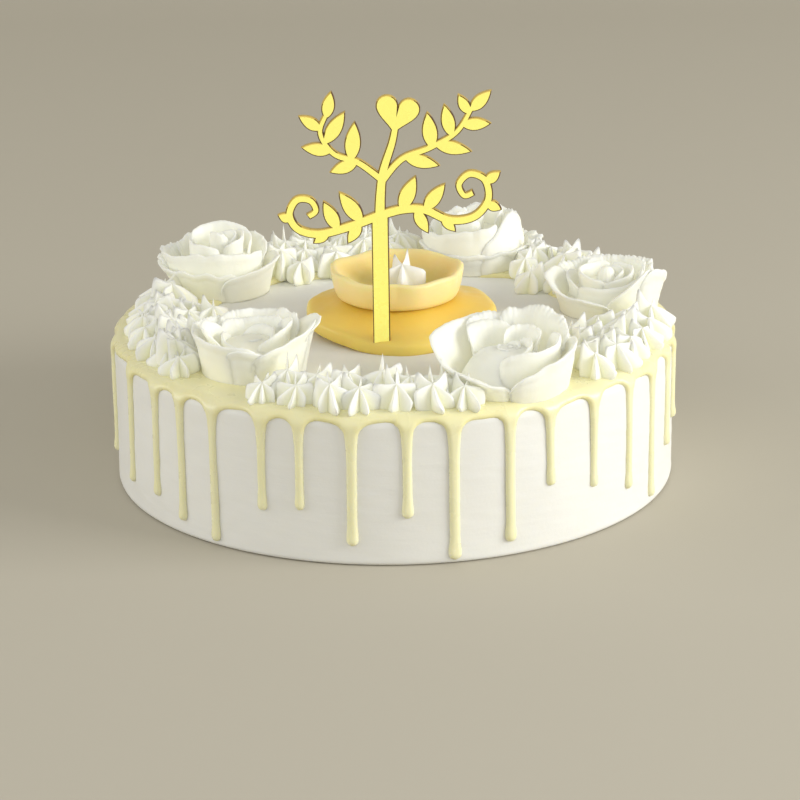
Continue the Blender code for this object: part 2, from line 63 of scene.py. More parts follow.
# ------------------------------------------------------------------ small tools
def wobble(seed, x, waves, low, high, wrap=None):
    """A smooth random curve of x, between about -1 and 1. With wrap, it repeats over that length."""
    rng = random.Random(seed)
    x = np.asarray(x, float)
    total = np.zeros_like(x)
    norm = 0.0
    for _ in range(waves):
        f = rng.uniform(low, high)
        if wrap:
            f = max(1, round(f * wrap)) / wrap
        a = rng.uniform(0.5, 1.0)
        total += a * np.sin(2 * math.pi * (f * x + rng.random()))
        norm += a * a
    return total / math.sqrt(norm)


def wobble2(seed, x, y, waves, low, high, wrap=None):
    """A smooth random field of x and y. With wrap, it repeats over that length of x."""
    rng = random.Random(seed)
    total = np.zeros(np.broadcast(x, y).shape)
    norm = 0.0
    for _ in range(waves):
        f = rng.uniform(low, high)
        t = rng.uniform(0, 2 * math.pi)
        fx, fy = f * math.cos(t), f * math.sin(t)
        if wrap:
            fx = round(fx * wrap) / wrap
        a = rng.uniform(0.5, 1.0)
        total = total + a * np.sin(2 * math.pi * (fx * x + fy * y + rng.random()))
        norm += a * a
    return total / math.sqrt(norm)


def smoothstep(low, high, x):
    t = np.clip((np.asarray(x, float) - low) / (high - low), 0, 1)
    return t * t * (3 - 2 * t)


class Parts:
    """Gathers vertices, faces and one value per vertex from several closed shells."""

    def __init__(self):
        self.v, self.q, self.t, self.a, self.n = [], [], [], [], 0

    def add(self, verts, quads=None, tris=None, deep=None):
        verts = np.asarray(verts, float).reshape(-1, 3)
        self.v.append(verts)
        if quads is not None and len(quads):
            self.q.append(np.asarray(quads, np.int64) + self.n)
        if tris is not None and len(tris):
            self.t.append(np.asarray(tris, np.int64) + self.n)
        self.a.append(np.zeros(len(verts)) if deep is None else np.asarray(deep, float).reshape(-1))
        self.n += len(verts)

    def object(self, name, material, offset=(0, 0, 0)):
        verts = np.concatenate(self.v) + np.asarray(offset, float)
        quads = np.concatenate(self.q) if self.q else np.zeros((0, 4), np.int64)
        tris = np.concatenate(self.t) if self.t else np.zeros((0, 3), np.int64)
        return mesh_object(name, verts, quads, tris, material, np.concatenate(self.a))


def mesh_object(name, verts, quads, tris, material, deep=None):
    mesh = bpy.data.meshes.new(name)
    mesh.vertices.add(len(verts))
    mesh.vertices.foreach_set("co", (np.asarray(verts, float) * MM).astype(np.float32).ravel())
    loops = np.concatenate([quads.ravel(), tris.ravel()]).astype(np.int32)
    starts = np.concatenate(
        [np.arange(len(quads)) * 4, len(quads) * 4 + np.arange(len(tris)) * 3]
    ).astype(np.int32)
    mesh.loops.add(len(loops))
    mesh.loops.foreach_set("vertex_index", loops)
    mesh.polygons.add(len(starts))
    mesh.polygons.foreach_set("loop_start", starts)
    mesh.polygons.foreach_set("use_smooth", np.ones(len(starts), bool))
    mesh.update(calc_edges=True)
    mesh.validate()
    if deep is not None:
        layer = mesh.attributes.new("deep", "FLOAT", "POINT")
        layer.data.foreach_set("value", np.asarray(deep, np.float32))
    mesh.materials.append(material)
    obj = bpy.data.objects.new(name, mesh)
    bpy.context.scene.collection.objects.link(obj)
    return obj


def grid_quads(rows, cols, wrap=False):
    """Quads of a rows x cols grid of vertices, row by row; wrap joins the last column to the first."""
    j = np.arange(rows - 1)[:, None]
    i = np.arange(cols if wrap else cols - 1)[None, :]
    k = (i + 1) % cols
    return np.stack(
        [j * cols + i, j * cols + k, (j + 1) * cols + k, (j + 1) * cols + i], axis=-1
    ).reshape(-1, 4)


def lathe(parts, ring_xyz, deep=None):
    """Adds a closed shell from rings (rows x cols x 3); the first and last row close on their middle."""
    rows, cols, _ = ring_xyz.shape
    verts = ring_xyz.reshape(-1, 3)
    first, last = ring_xyz[0].mean(0), ring_xyz[-1].mean(0)
    verts = np.concatenate([verts, [first, last]])
    quads = grid_quads(rows, cols, wrap=True)
    i = np.arange(cols)
    k = (i + 1) % cols
    top = np.stack([np.full(cols, rows * cols), k, i], -1)
    low = np.stack([np.full(cols, rows * cols + 1), (rows - 1) * cols + i, (rows - 1) * cols + k], -1)
    if deep is not None:
        deep = np.concatenate([np.asarray(deep, float).reshape(-1), [np.mean(deep[0]), np.mean(deep[-1])]])
    parts.add(verts, quads, np.concatenate([top, low]), deep)


def sheet(parts, mid, thick, deep):
    """Adds a closed shell around a mid surface (rows x cols x 3) with a thickness at each point."""
    du = np.gradient(mid, axis=1)
    dv = np.gradient(mid, axis=0)
    normal = np.cross(du, dv)
    normal /= np.linalg.norm(normal, axis=2, keepdims=True) + 1e-9
    rows, cols, _ = mid.shape
    a = mid + normal * thick[..., None] / 2
    b = mid - normal * thick[..., None] / 2
    verts = np.concatenate([a.reshape(-1, 3), b.reshape(-1, 3)])
    n = rows * cols
    front = grid_quads(rows, cols)
    back = front[:, ::-1] + n
    ring = np.concatenate(
        [
            np.arange(cols),
            np.arange(1, rows) * cols + cols - 1,
            (rows - 1) * cols + np.arange(cols - 2, -1, -1),
            np.arange(rows - 2, 0, -1) * cols,
        ]
    )
    nxt = np.roll(ring, -1)
    rim = np.stack([nxt, ring, ring + n, nxt + n], -1)
    parts.add(verts, np.concatenate([front, back, rim]), None, np.concatenate([deep.ravel(), deep.ravel()]))


# -------------------------------------------------------------------- materials
def node_material(name):
    made = bpy.data.materials.new(name)
    made.use_nodes = True
    tree = made.node_tree
    shader = tree.nodes["Principled BSDF"]
    return made, tree, shader


def noise(tree, scale, detail=3.0, rough=0.5, stretch=None):
    coords = tree.nodes.new("ShaderNodeTexCoord")
    out = coords.outputs["Object"]
    if stretch:
        mapping = tree.nodes.new("ShaderNodeMapping")
        mapping.inputs["Scale"].default_value = stretch
        tree.links.new(out, mapping.inputs["Vector"])
        out = mapping.outputs["Vector"]
    node = tree.nodes.new("ShaderNodeTexNoise")
    node.inputs["Scale"].default_value = scale
    node.inputs["Detail"].default_value = detail
    node.inputs["Roughness"].default_value = rough
    tree.links.new(out, node.inputs["Vector"])
    return node.outputs["Fac"]


def ramp(tree, value, stops):
    node = tree.nodes.new("ShaderNodeValToRGB")
    while len(node.color_ramp.elements) < len(stops):
        node.color_ramp.elements.new(0.5)
    for element, (place, colour) in zip(node.color_ramp.elements, stops):
        element.position = place
        element.color = (*colour, 1.0) if len(colour) == 3 else colour
    tree.links.new(value, node.inputs["Fac"])
    return node.outputs["Color"]


def mix(tree, factor, one, two, kind="MIX"):
    node = tree.nodes.new("ShaderNodeMix")
    node.data_type = "RGBA"
    node.blend_type = kind
    for socket, value in ((node.inputs[0], factor), (node.inputs[6], one), (node.inputs[7], two)):
        if isinstance(value, bpy.types.NodeSocket):
            tree.links.new(value, socket)
        elif isinstance(value, tuple):
            socket.default_value = (*value, 1.0)
        else:
            socket.default_value = value
    return node.outputs[2]


def bump(tree, shader, heights, distance=0.001):
    """heights: [(value socket, strength), ...] chained into the shader's normal."""
    last = None
    for value, strength in heights:
        node = tree.nodes.new("ShaderNodeBump")
        node.inputs["Strength"].default_value = strength
        node.inputs["Distance"].default_value = distance
        tree.links.new(value, node.inputs["Height"])
        if last is not None:
            tree.links.new(last, node.inputs["Normal"])
        last = node.outputs["Normal"]
    tree.links.new(last, shader.inputs["Normal"])


def attribute(tree, name):
    node = tree.nodes.new("ShaderNodeAttribute")
    node.attribute_name = name
    return node.outputs["Fac"]


def cream(name, pale, fold_light_and_patch, rough=0.5, subsurface=0.35, fine=900.0, stretch=None, glow=0.0):
    made, tree, shader = node_material(name)
    deep = attribute(tree, "deep")
    patch = noise(tree, 28.0, 3.0)
    # painted light and shade: towards deep points (folds, grooves, feet) the colour turns to the fold colour, which
    # stands in for shade and for light from the glaze and from inside the cream
    colour = mix(tree, deep, pale, fold_light_and_patch)
    colour = mix(
        tree, ramp(tree, patch, [(0.35, (0, 0, 0)), (0.75, (0.35, 0.35, 0.35))]), colour,
        tuple(0.5 * a + 0.5 * b for a, b in zip(pale, fold_light_and_patch)),
    )
    tree.links.new(colour, shader.inputs["Base Color"])
    tree.links.new(
        ramp(tree, noise(tree, 160.0), [(0.3, (rough - 0.08,) * 3), (0.7, (rough + 0.1,) * 3)]),
        shader.inputs["Roughness"],
    )
    shader.inputs["Subsurface Weight"].default_value = subsurface
    shader.inputs["Subsurface Radius"].default_value = (1.0, 0.92, 0.72)
    shader.inputs["Subsurface Scale"].default_value = 0.0035
    shader.inputs["Specular IOR Level"].default_value = 0.35
    # painted glow: an even emission stands in for light that scatters inside the cream and fills its folds
    shader.inputs["Emission Color"].default_value = (1.0, 0.985, 0.86, 1.0)
    shader.inputs["Emission Strength"].default_value = glow
    bump(
        tree, shader,
        [(noise(tree, fine, 4.0, 0.6), 0.10), (noise(tree, 240.0, 3.0, 0.5, stretch), 0.16)],
        0.0006,
    )
    return made


# each cream's second colour is the fold colour of painted light and shade (the frosting has no deep points) and the
# colour of its random patches; glow is a painted glow
FROSTING = cream("frosting", (0.83, 0.828, 0.785), (0.76, 0.735, 0.64), 0.52, 0.25, 700.0, (0.25, 0.25, 2.2))
ROSE = cream("rose_cream", (0.85, 0.857, 0.785), (0.955, 0.93, 0.73), 0.5, 0.5, 900.0, glow=0.06)
STARS = cream("star_cream", (0.93, 0.935, 0.90), (0.85, 0.845, 0.52), 0.48, 0.4, 1000.0, glow=0.04)
MIDDLE = cream("middle_cream", (0.95, 0.953, 0.93), (0.90, 0.88, 0.74), 0.48, 0.35, 1000.0)


def glaze_material():
    made, tree, shader = node_material("drip_glaze")
    deep = attribute(tree, "deep")
    colour = mix(tree, deep, (0.87, 0.835, 0.53), (0.86, 0.79, 0.40))
    colour = mix(
        tree, ramp(tree, noise(tree, 35.0), [(0.4, (0, 0, 0)), (0.7, (0.4, 0.4, 0.4))]),
        colour, (0.90, 0.87, 0.60),
    )
    tree.links.new(colour, shader.inputs["Base Color"])
    tree.links.new(
        ramp(tree, noise(tree, 120.0), [(0.3, (0.24,) * 3), (0.7, (0.34,) * 3)]),
        shader.inputs["Roughness"],
    )
    shader.inputs["Subsurface Weight"].default_value = 0.35
    shader.inputs["Subsurface Radius"].default_value = (1.0, 0.9, 0.5)
    shader.inputs["Subsurface Scale"].default_value = 0.002
    shader.inputs["Specular IOR Level"].default_value = 0.45
    bump(tree, shader, [(noise(tree, 500.0, 3.0), 0.05), (noise(tree, 90.0, 2.0), 0.10)], 0.0006)
    return made


def fruit_material(name, outer, inner, rim, weight, rough):
    made, tree, shader = node_material(name)
    deep = attribute(tree, "deep")
    # painted shade: deep runs from the light rim colour (0) through the outer colour to the dark inner colour (1) in
    # the hollows and under the cup
    colour = ramp(tree, deep, [(0.0, rim), (0.5, outer), (1.0, inner)])
    colour = mix(
        tree, ramp(tree, noise(tree, 60.0, 4.0, 0.6), [(0.35, (0, 0, 0)), (0.75, (0.35, 0.35, 0.35))]),
        colour, rim,
    )
    tree.links.new(colour, shader.inputs["Base Color"])
    tree.links.new(
        ramp(tree, noise(tree, 200.0), [(0.3, (rough - 0.06,) * 3), (0.7, (rough + 0.08,) * 3)]),
        shader.inputs["Roughness"],
    )
    shader.inputs["Subsurface Weight"].default_value = weight
    shader.inputs["Subsurface Radius"].default_value = (1.0, 0.62, 0.16)
    shader.inputs["Subsurface Scale"].default_value = 0.008
    shader.inputs["Specular IOR Level"].default_value = 0.4
    bump(tree, shader, [(noise(tree, 420.0, 4.0), 0.10), (noise(tree, 70.0, 3.0, 0.5, (1, 1, 3)), 0.20)], 0.0008)
    return made


GLAZE = glaze_material()
FRUIT_LOW = fruit_material("fruit_base", (0.86, 0.595, 0.115), (0.76, 0.47, 0.045), (0.88, 0.65, 0.16), 0.5, 0.36)
FRUIT_HIGH = fruit_material("fruit_cup", (0.92, 0.71, 0.30), (0.72, 0.55, 0.12), (0.93, 0.78, 0.40), 0.5, 0.36)


def gold_material(name, colour, rough, metallic):
    made, tree, shader = node_material(name)
    tree.links.new(
        mix(tree, ramp(tree, noise(tree, 40.0), [(0.4, (0, 0, 0)), (0.8, (0.5, 0.5, 0.5))]),
            colour, tuple(0.95 * c for c in colour)),
        shader.inputs["Base Color"],
    )
    tree.links.new(
        ramp(tree, noise(tree, 300.0), [(0.3, (rough - 0.04,) * 3), (0.7, (rough + 0.05,) * 3)]),
        shader.inputs["Roughness"],
    )
    shader.inputs["Metallic"].default_value = metallic
    shader.inputs["Coat Weight"].default_value = 0.3
    shader.inputs["Coat Roughness"].default_value = 0.08
    bump(tree, shader, [(noise(tree, 60.0, 2.0), 0.03)], 0.0005)
    return made


GOLD = gold_material("topper_gold", (1.0, 0.93, 0.22), 0.28, 0.1)
# painted glow: the gold faces give off a little yellow light of their own
GOLD.node_tree.nodes["Principled BSDF"].inputs["Emission Color"].default_value = (1.0, 0.90, 0.19, 1.0)
GOLD.node_tree.nodes["Principled BSDF"].inputs["Emission Strength"].default_value = 0.18
# lit and shaded copies of the gold for the cut edges: painted light and painted shade
GOLD_LIT = gold_material("topper_edge_lit", (0.72, 0.50, 0.09), 0.28, 0.3)
GOLD_SHADED = gold_material("topper_edge_shaded", (0.11, 0.045, 0.008), 0.3, 0.2)


# ------------------------------------------------------------------- frosting
def frosting():
    cols = 480
    phi = np.arange(cols) / cols * 2 * math.pi
    profile = [(r, CAKE_H) for r in np.linspace(2.0, CAKE_R - EDGE_R - 1.0, 34)]
    for a in np.linspace(90, 0, 9):
        profile.append(
            (CAKE_R - EDGE_R + EDGE_R * math.cos(math.radians(a)), CAKE_H - EDGE_R + EDGE_R * math.sin(math.radians(a)))
        )
    profile += [(CAKE_R, z) for z in np.linspace(CAKE_H - EDGE_R - 1.2, 1.4, 44)]
    profile += [(CAKE_R - 0.3, 0.5), (CAKE_R - 1.0, 0.0), (CAKE_R - 12.0, 0.0), (40.0, 0.0), (3.0, 0.0)]
    profile = np.array(profile)
    r, z = profile[:, :1], profile[:, 1:]
    s = phi[None, :] * CAKE_R
    length = 2 * math.pi * CAKE_R
    side = smoothstep(CAKE_R - 3.0, CAKE_R - 0.2, r) * smoothstep(0.2, 3.0, z)
    top = smoothstep(CAKE_H - 1.0, CAKE_H - 0.05, z)
    bulge = 0.16 * wobble2(11, s, z, 9, 0.008, 0.03, length)
    smear = 0.05 * wobble2(12, s * 0.25, z, 14, 0.08, 0.32, length * 0.25)
    rr = r + side * (bulge + smear - 0.15)
    x = rr * np.sin(phi)[None, :]
    y = -rr * np.cos(phi)[None, :]
    swirl = 0.10 * wobble2(13, x, y, 12, 0.01, 0.05) + 0.03 * wobble2(14, x, y, 16, 0.08, 0.2)
    zz = z + top * smoothstep(0.0, 8.0, CAKE_R - r) * (swirl - 0.1) + 0 * x
    parts = Parts()
    lathe(parts, np.stack([x, y, zz], -1))
    made = parts.object("frosting", FROSTING)
    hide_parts("cake_body")
    return made


# ----------------------------------------------------------------- drip glaze
SHOWN_DRIPS = (
    (-84.8, 10.7), (-66.5, 10.0), (-55.2, 11.2), (-46.9, 5.7), (-37.9, 1.8),
    (-26.6, 18.3), (-18.7, 20.4), (-8.3, 7.7), (2.3, 18.7), (11.4, 1.4),
    (22.7, 5.7), (31.5, 24.7), (42.6, 19.2), (53.5, 12.5), (63.1, 3.2),
    (73.1, 17.7), (81.2, 23.8),
)


def all_drips():
    spread = list(SHOWN_DRIPS)
    last = SHOWN_DRIPS[-1][0]
    rng = random.Random(5)
    count = 17
    step = (360.0 + SHOWN_DRIPS[0][0] - last) / (count + 1)
    for k in range(1, count + 1):
        spread.append((last + k * step + rng.uniform(-1.6, 1.6), 4.0 + 22.0 * rng.random()))
    return spread


def drip_glaze():
    rng = random.Random(8)
    drips = []
    shown_half_widths = (
        1.75, 1.75, 1.8, 1.9, 1.95, 1.85, 1.8, 2.2, 2.0, 2.25, 2.1, 1.8, 1.75, 1.8, 1.75, 1.7, 1.75,
    )
    for k, (azimuth, tip) in enumerate(all_drips()):
        half = shown_half_widths[k] if k < len(shown_half_widths) else rng.uniform(1.7, 2.15)
        drips.append(
            dict(
                s=math.radians(azimuth) * CAKE_R, tip=tip, w=half,
                bulb=rng.uniform(1.02, 1.14), bend=rng.uniform(-0.4, 0.4), sway=rng.random(),
                flare=rng.uniform(0.8, 1.25),
            )
        )
    length = 2 * math.pi * CAKE_R
    # columns: close together at each drip, wider apart between drips
    fixed = sorted(d["s"] % length for d in drips)
    cols = []
    for k, here in enumerate(fixed):
        nxt = fixed[(k + 1) % len(fixed)] + (length if k + 1 == len(fixed) else 0)
        near = list(np.arange(-3.75, 3.76, 0.5))
        cols += [here + d for d in near]
        gap_low, gap_high = here + 3.75, nxt - 3.75
        n = max(1, round((gap_high - gap_low) / 1.25))
        cols += [gap_low + (gap_high - gap_low) * j / n for j in range(1, n)]
    s = np.array(sorted(c % length for c in cols))
    # rows: along the top outwards, over the edge, down the side
    flat = CAKE_R - EDGE_R
    arc = EDGE_R * math.pi / 2
    t_rows = list(np.arange(68.0, 84.0, 1.0)) + list(np.arange(84.0, flat - 1.0, 1.9))
    t_rows += list(flat + np.linspace(0, arc, 10))
    t_rows += list(np.arange(flat + arc + 0.6, flat + arc + 8.0, 0.6))
    t_rows += list(np.arange(flat + arc + 8.0, flat + arc + CAKE_H - EDGE_R - 0.6, 0.8))
    t = np.array(t_rows)

    def place(ss, tt, lift):
        """Position and lift of a point at ss round the cake and tt along its outline."""
        over = np.clip((tt - flat) / arc, 0, 1) * math.pi / 2
        down = np.maximum(tt - flat - arc, 0)
        r = np.where(tt < flat, tt, flat + EDGE_R * np.sin(over))
        z = np.where(tt < flat, CAKE_H, CAKE_H - EDGE_R + EDGE_R * np.cos(over)) - down
        nr, nz = np.sin(over), np.cos(over)
        r = r + nr * lift
        z = z + nz * lift
        a = ss / CAKE_R
        return np.stack([r * np.sin(a), -r * np.cos(a), z], -1)

    def field(ss, tt):
        """How far inside the glaze a point lies, in mm, and which share of it is drip."""
        wide = ss[0] if ss.ndim == 2 else ss
        inner = 76.0 + 2.4 * wobble(21, ss, 7, 0.006, 0.03, length)
        top = tt - inner
        lip = flat + arc * 0.66 + 0.7 * wobble(23, ss, 8, 0.012, 0.04, length)
        low = lip - tt
        down = tt - flat - arc
        drip = np.full(np.broadcast(ss, tt).shape, -1e3)
        for d in drips:
            ds = (ss - d["s"] + length / 2) % length - length / 2
            ds = ds - d["bend"] * np.sin(down / 22.0 + 6 * d["sway"]) * smoothstep(4, 30, down)
            end = CAKE_H - EDGE_R - d["tip"]
            w = d["w"] * (1.0 - 0.12 * smoothstep(2.0, 14.0, down))
            w = w * (1.0 + (d["bulb"] * 1.12 - 1.0) * smoothstep(end - 9.0, end - 2.5, down))
            w = w + 2.1 * d["flare"] * np.exp(-np.maximum(down + 2.5, 0) / 2.9)
            cap = end - w
            beyond = np.maximum(down - cap, 0)
            one = w - np.sqrt(ds**2 + beyond**2)
            drip = np.maximum(drip, one)
        k = 4.2
        h = np.clip(k - np.abs(low - drip), 0, None) / k
        both = np.maximum(low, drip) + h * h * k / 4
        return np.minimum(top, both), smoothstep(0.5, 5.0, down)

    S, T = np.meshgrid(s, t)
    F, share = field(S, T)
    rows, ncols = F.shape
    quads = grid_quads(rows, ncols, wrap=True)
    used = (F.ravel()[quads] > 0.02).any(1)
    quads = quads[used]
    # points just outside move onto the outline
    e = 0.2
    Fs = (field(S + e, T)[0] - field(S - e, T)[0]) / (2 * e)
    Ft = (field(S, T + e)[0] - field(S, T - e)[0]) / (2 * e)
    g2 = Fs**2 + Ft**2 + 1e-6
    outside = F < 0
    step_s = np.where(outside, -F * Fs / g2, 0)
    step_t = np.where(outside, -F * Ft / g2, 0)
    size = np.maximum(np.sqrt(step_s**2 + step_t**2), 1e-9)
    most = np.minimum(1.0, 1.0 / size)
    S2, T2 = S + step_s * most, T + step_t * most
    F2, share = field(S2, T2)
    w = 1.75
    inside = np.clip(F2 / w, 0, 1)
    bulk = np.sqrt(np.clip(1 - (1 - inside) ** 2, 0, 1))
    down = T2 - flat - arc
    thick = 1.30 * bulk
    thick *= 1.0 + 0.12 * np.exp(-((down + 0.5) / 2.4) ** 2)
    for d in drips:
        ds = (S2 - d["s"] + length / 2) % length - length / 2
        end = CAKE_H - EDGE_R - d["tip"]
        near = np.exp(-(ds / 3.0) ** 2) * np.exp(-((down - end + 2.2) / 2.6) ** 2)
        thick *= 1.0 + 0.32 * near
    thick *= 1.0 + 0.06 * wobble2(25, S2, T2, 8, 0.01, 0.05, length)
    outer = place(S2, T2, 0.05 + thick)
    inner = place(S2, T2, -0.45 + 0 * thick)
    deep = 0.75 * np.exp(-np.abs(F2) / 1.2) * (1 - share) + 0.35 * (1 - smoothstep(-4.0, 2.0, down))
    # keep the used vertices only, outer then inner, and close the rim between them
    ids = np.unique(quads)
    remap = np.full(rows * ncols, -1)
    remap[ids] = np.arange(len(ids))
    quads = remap[quads]
    n = len(ids)
    verts = np.concatenate([outer.reshape(-1, 3)[ids], inner.reshape(-1, 3)[ids]])
    values = np.concatenate([deep.ravel()[ids], deep.ravel()[ids]])
    edges = {}
    for a, b in ((0, 1), (1, 2), (2, 3), (3, 0)):
        for x, y in zip(quads[:, a].tolist(), quads[:, b].tolist()):
            edges[(x, y)] = True
    rim = [(x, y) for (x, y) in edges if (y, x) not in edges]
    rim = np.array([(y, x, x + n, y + n) for x, y in rim])
    # rows run outwards and down, columns towards +X, so this order faces out
    parts = Parts()
    parts.add(verts, np.concatenate([quads[:, ::-1], quads + n, rim[:, ::-1]]), None, values)
    made = parts.object("glaze", GLAZE)
    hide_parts("drip_glaze")
    return made


# ---------------------------------------------------------------------- roses
def through(points, u):
    """A smooth line through points (rows), at u between 0 and 1."""
    points = np.asarray(points, float)
    count = len(points) - 1
    t = np.clip(u * count, 0, count - 1e-9)
    k = t.astype(int)
    f = (t - k)[:, None]
    p1, p2 = points[k], points[k + 1]
    p0, p3 = points[np.maximum(k - 1, 0)], points[np.minimum(k + 2, count)]
    return 0.5 * (
        2 * p1 + (p2 - p0) * f + (2 * p0 - 5 * p1 + 4 * p2 - p3) * f * f + (3 * p1 - p0 - 3 * p2 + p3) * f**3
    )


def petal(parts, seed, rim, r0, curl=0.9, fray=0.22, crumbs=0.07, ruff=0.35, belly=0.0, thick=2.6,
          tip=0.62, power=1.3, z0=-0.8, cx=0.0, cy=0.0, up=22):
    """One piped petal. rim: (azimuth in degrees, radius, height) along its upper edge; r0: radius of its foot."""
    rim = np.array(rim, float)
    arc = np.radians(rim[-1, 0] - rim[0, 0]) * (r0 + rim[:, 1].mean()) / 2
    across = 16 + int(arc * 1.7)
    u = np.linspace(0, 1, across)
    az, r1, h = through(rim, u).T
    along = u * arc
    reach = min(6.5, 0.3 * arc)
    end = np.clip(1 - np.minimum(along, arc - along) / reach, 0, 1)
    h = h - 0.8 * reach * (1 - np.sqrt(1 - end**2))
    r1 = r1 - 2.0 * end**2
    r0 = r0 - 1.2 * end[None] ** 2
    h = h + fray * wobble(seed, along, 6, 0.04, 0.15)
    ragged = np.abs(wobble(seed + 1, along, 8, 0.18, 0.5)) - 0.5
    h = h + crumbs * (1.6 * ragged + 0.6 * wobble(seed + 6, along, 7, 0.35, 0.8))
    along, az, r1, h = along[None], az[None], r1[None], h[None]
    v = (np.linspace(0, 1, up) ** 0.85)[:, None]
    theta = np.radians(az) + 0 * v
    q = np.clip((v - 0.72) / 0.28, 0, 1)
    r = r0 + (r1 - r0) * v**power
    r = r + belly * np.sin(math.pi * v) * np.sin(math.pi * u)[None] ** 0.5
    r = r + ruff * v**2.2 * wobble(seed + 2, along, 5, 0.02, 0.07)
    r = r + (0.25 * ruff + 0.45 * crumbs) * v**5 * wobble(seed + 3, along, 6, 0.08, 0.24)
    roll = curl * (1 + 0.35 * wobble(seed + 4, along, 4, 0.02, 0.06))
    r = r + roll * (q**2 - 0.25 * q)
    z = z0 + (h - z0) * v - 0.35 * np.abs(roll) * q**2.5
    # faint grooves left by the piping tip, parallel to the rim
    r = r + 0.05 * np.sin(v * 24 + 1.5 * wobble(seed + 5, along, 3, 0.01, 0.04)) * smoothstep(0.1, 0.4, v)
    x = cx + r * np.sin(theta)
    y = cy - r * np.cos(theta)
    mid = np.stack([x, y, z + 0 * x], -1)
    ends = 1 - 0.82 * end[None] ** 1.6
    body = (thick * (1 - v) ** 0.75 + tip + 0.55 * np.exp(-(((v - 0.88) / 0.08) ** 2))) * ends
    body = body * (1 - 0.45 * smoothstep(0.95, 1.0, v))
    # painted light and shade: the fold colour is strongest at the foot of each petal, where the folds are deepest
    deep = 0.85 * (1 - v) ** 1.3 + 0 * theta
    sheet(parts, mid, body + 0 * theta, deep)


def mound(parts, seed, r, h, sharp=1.6, cx=0.0, cy=0.0, low=-1.0, deep=0.8):
    """The soft body of cream that the petals stand on."""
    cols, rows = 48, 12
    phi = np.arange(cols) / cols * 2 * math.pi
    k = np.linspace(0.04, 1, rows)
    rr = r * k[:, None] * (1 + 0.04 * wobble(seed, phi * 10, 4, 0.1, 0.3, 20 * math.pi)[None, :])
    zz = h * (1 - k**sharp)[:, None] + 0 * rr
    zz[-1] = low
    ring = np.stack([cx + rr * np.sin(phi), cy - rr * np.cos(phi), zz], -1)
    # painted shade: deep sets how strongly the fold colour covers the whole mound
    lathe(parts, ring, np.full((rows, cols), deep))


def bud(parts, seed, r, h, az, cx=0.0, cy=0.0):
    """The rolled middle: two tight scrolls round a soft tip."""
    mound(parts, seed, r * 0.95, h * 0.92, 2.8, cx, cy, deep=0.25)
    for k, (turn, near, share) in enumerate(((0.0, 0.88, 1.0), (170.0, 1.15, 0.95))):
        petal(
            parts, seed + 10 + 10 * k,
            [(az + turn + d, near * r * (0.94 + 0.06 * j), h * (share - 0.05 * abs(j - 2))) for j, d in
             enumerate((-100.0, -50.0, 0.0, 50.0, 100.0))],
            r, curl=0.3, fray=0.15, ruff=0.2, thick=1.6, cx=cx, cy=cy,
        )


def rose(name, x, y, base, make):
    parts = Parts()
    make(parts)
    made = parts.object(name + "_petals", ROSE, (x, y, base))
    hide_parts(name)
    return made


def rose_front_left(p):
    mound(p, 100, 17.8, 12.5, 3.5)
    petal(p, 101, [(-104, 21, 15.6), (-68, 21.6, 16.8), (-38, 21.6, 16.2), (-12, 21.6, 16.0), (10, 21.2, 15.0)],
          17.0, thick=3.2)
    petal(p, 102, [(-26, 21.9, 13.8), (-10, 22.1, 14.9), (6, 22.1, 14.2), (22, 21.9, 12.4)], 17.6, thick=3.0)
    petal(p, 103, [(2, 22.6, 11.6), (20, 23.1, 14.6), (45, 23.4, 18.0), (75, 23.8, 20.8), (94, 25.2, 19.8)],
          17.6, thick=3.4, curl=1.1, belly=0.5)
    petal(p, 104, [(64, 23.8, 20.6), (86, 25.2, 21.4), (106, 24.8, 20.0), (130, 22.2, 17.6)], 19.0, curl=2.0)
    petal(p, 105, [(116, 21.6, 18.0), (140, 20.8, 18.7), (165, 20.6, 18.1), (195, 20.6, 17.8), (224, 20.6, 16.6)],
          17.0, fray=0.45, crumbs=0.3, ruff=0.7)
    petal(p, 106, [(206, 21.6, 16.0), (230, 21.8, 16.9), (256, 22.2, 16.5), (276, 21.6, 15.2)], 17.4,
          fray=0.4, crumbs=0.3, ruff=0.6)
    petal(p, 107, [(-126, 13.4, 17.0), (-100, 16.4, 19.2), (-74, 17.4, 18.8), (-52, 14.6, 15.4)], 13.4, curl=1.9)
    petal(p, 108, [(14, 11.4, 13.8), (38, 12.8, 16.4), (64, 14.2, 19.0), (86, 15.2, 20.1), (110, 15.2, 19.2),
                   (134, 14.2, 17.4)], 11.4, curl=0.7)
    petal(p, 109, [(112, 14.0, 17.0), (146, 15.0, 17.3), (180, 15.0, 16.8), (214, 14.6, 15.9), (246, 13.4, 14.8)],
          11.6, crumbs=0.22, fray=0.4, ruff=0.6)
    petal(p, 110, [(-128, 11.2, 14.4), (-96, 10.8, 14.1), (-60, 10.4, 13.2), (-22, 9.8, 12.2)], 9.2, curl=0.6)
    petal(p, 111, [(36, 7.0, 12.8), (84, 8.4, 15.0), (130, 8.9, 15.8), (176, 8.4, 15.1), (216, 7.2, 13.8)], 7.0)
    bud(p, 112, 3.9, 13.2, 30)


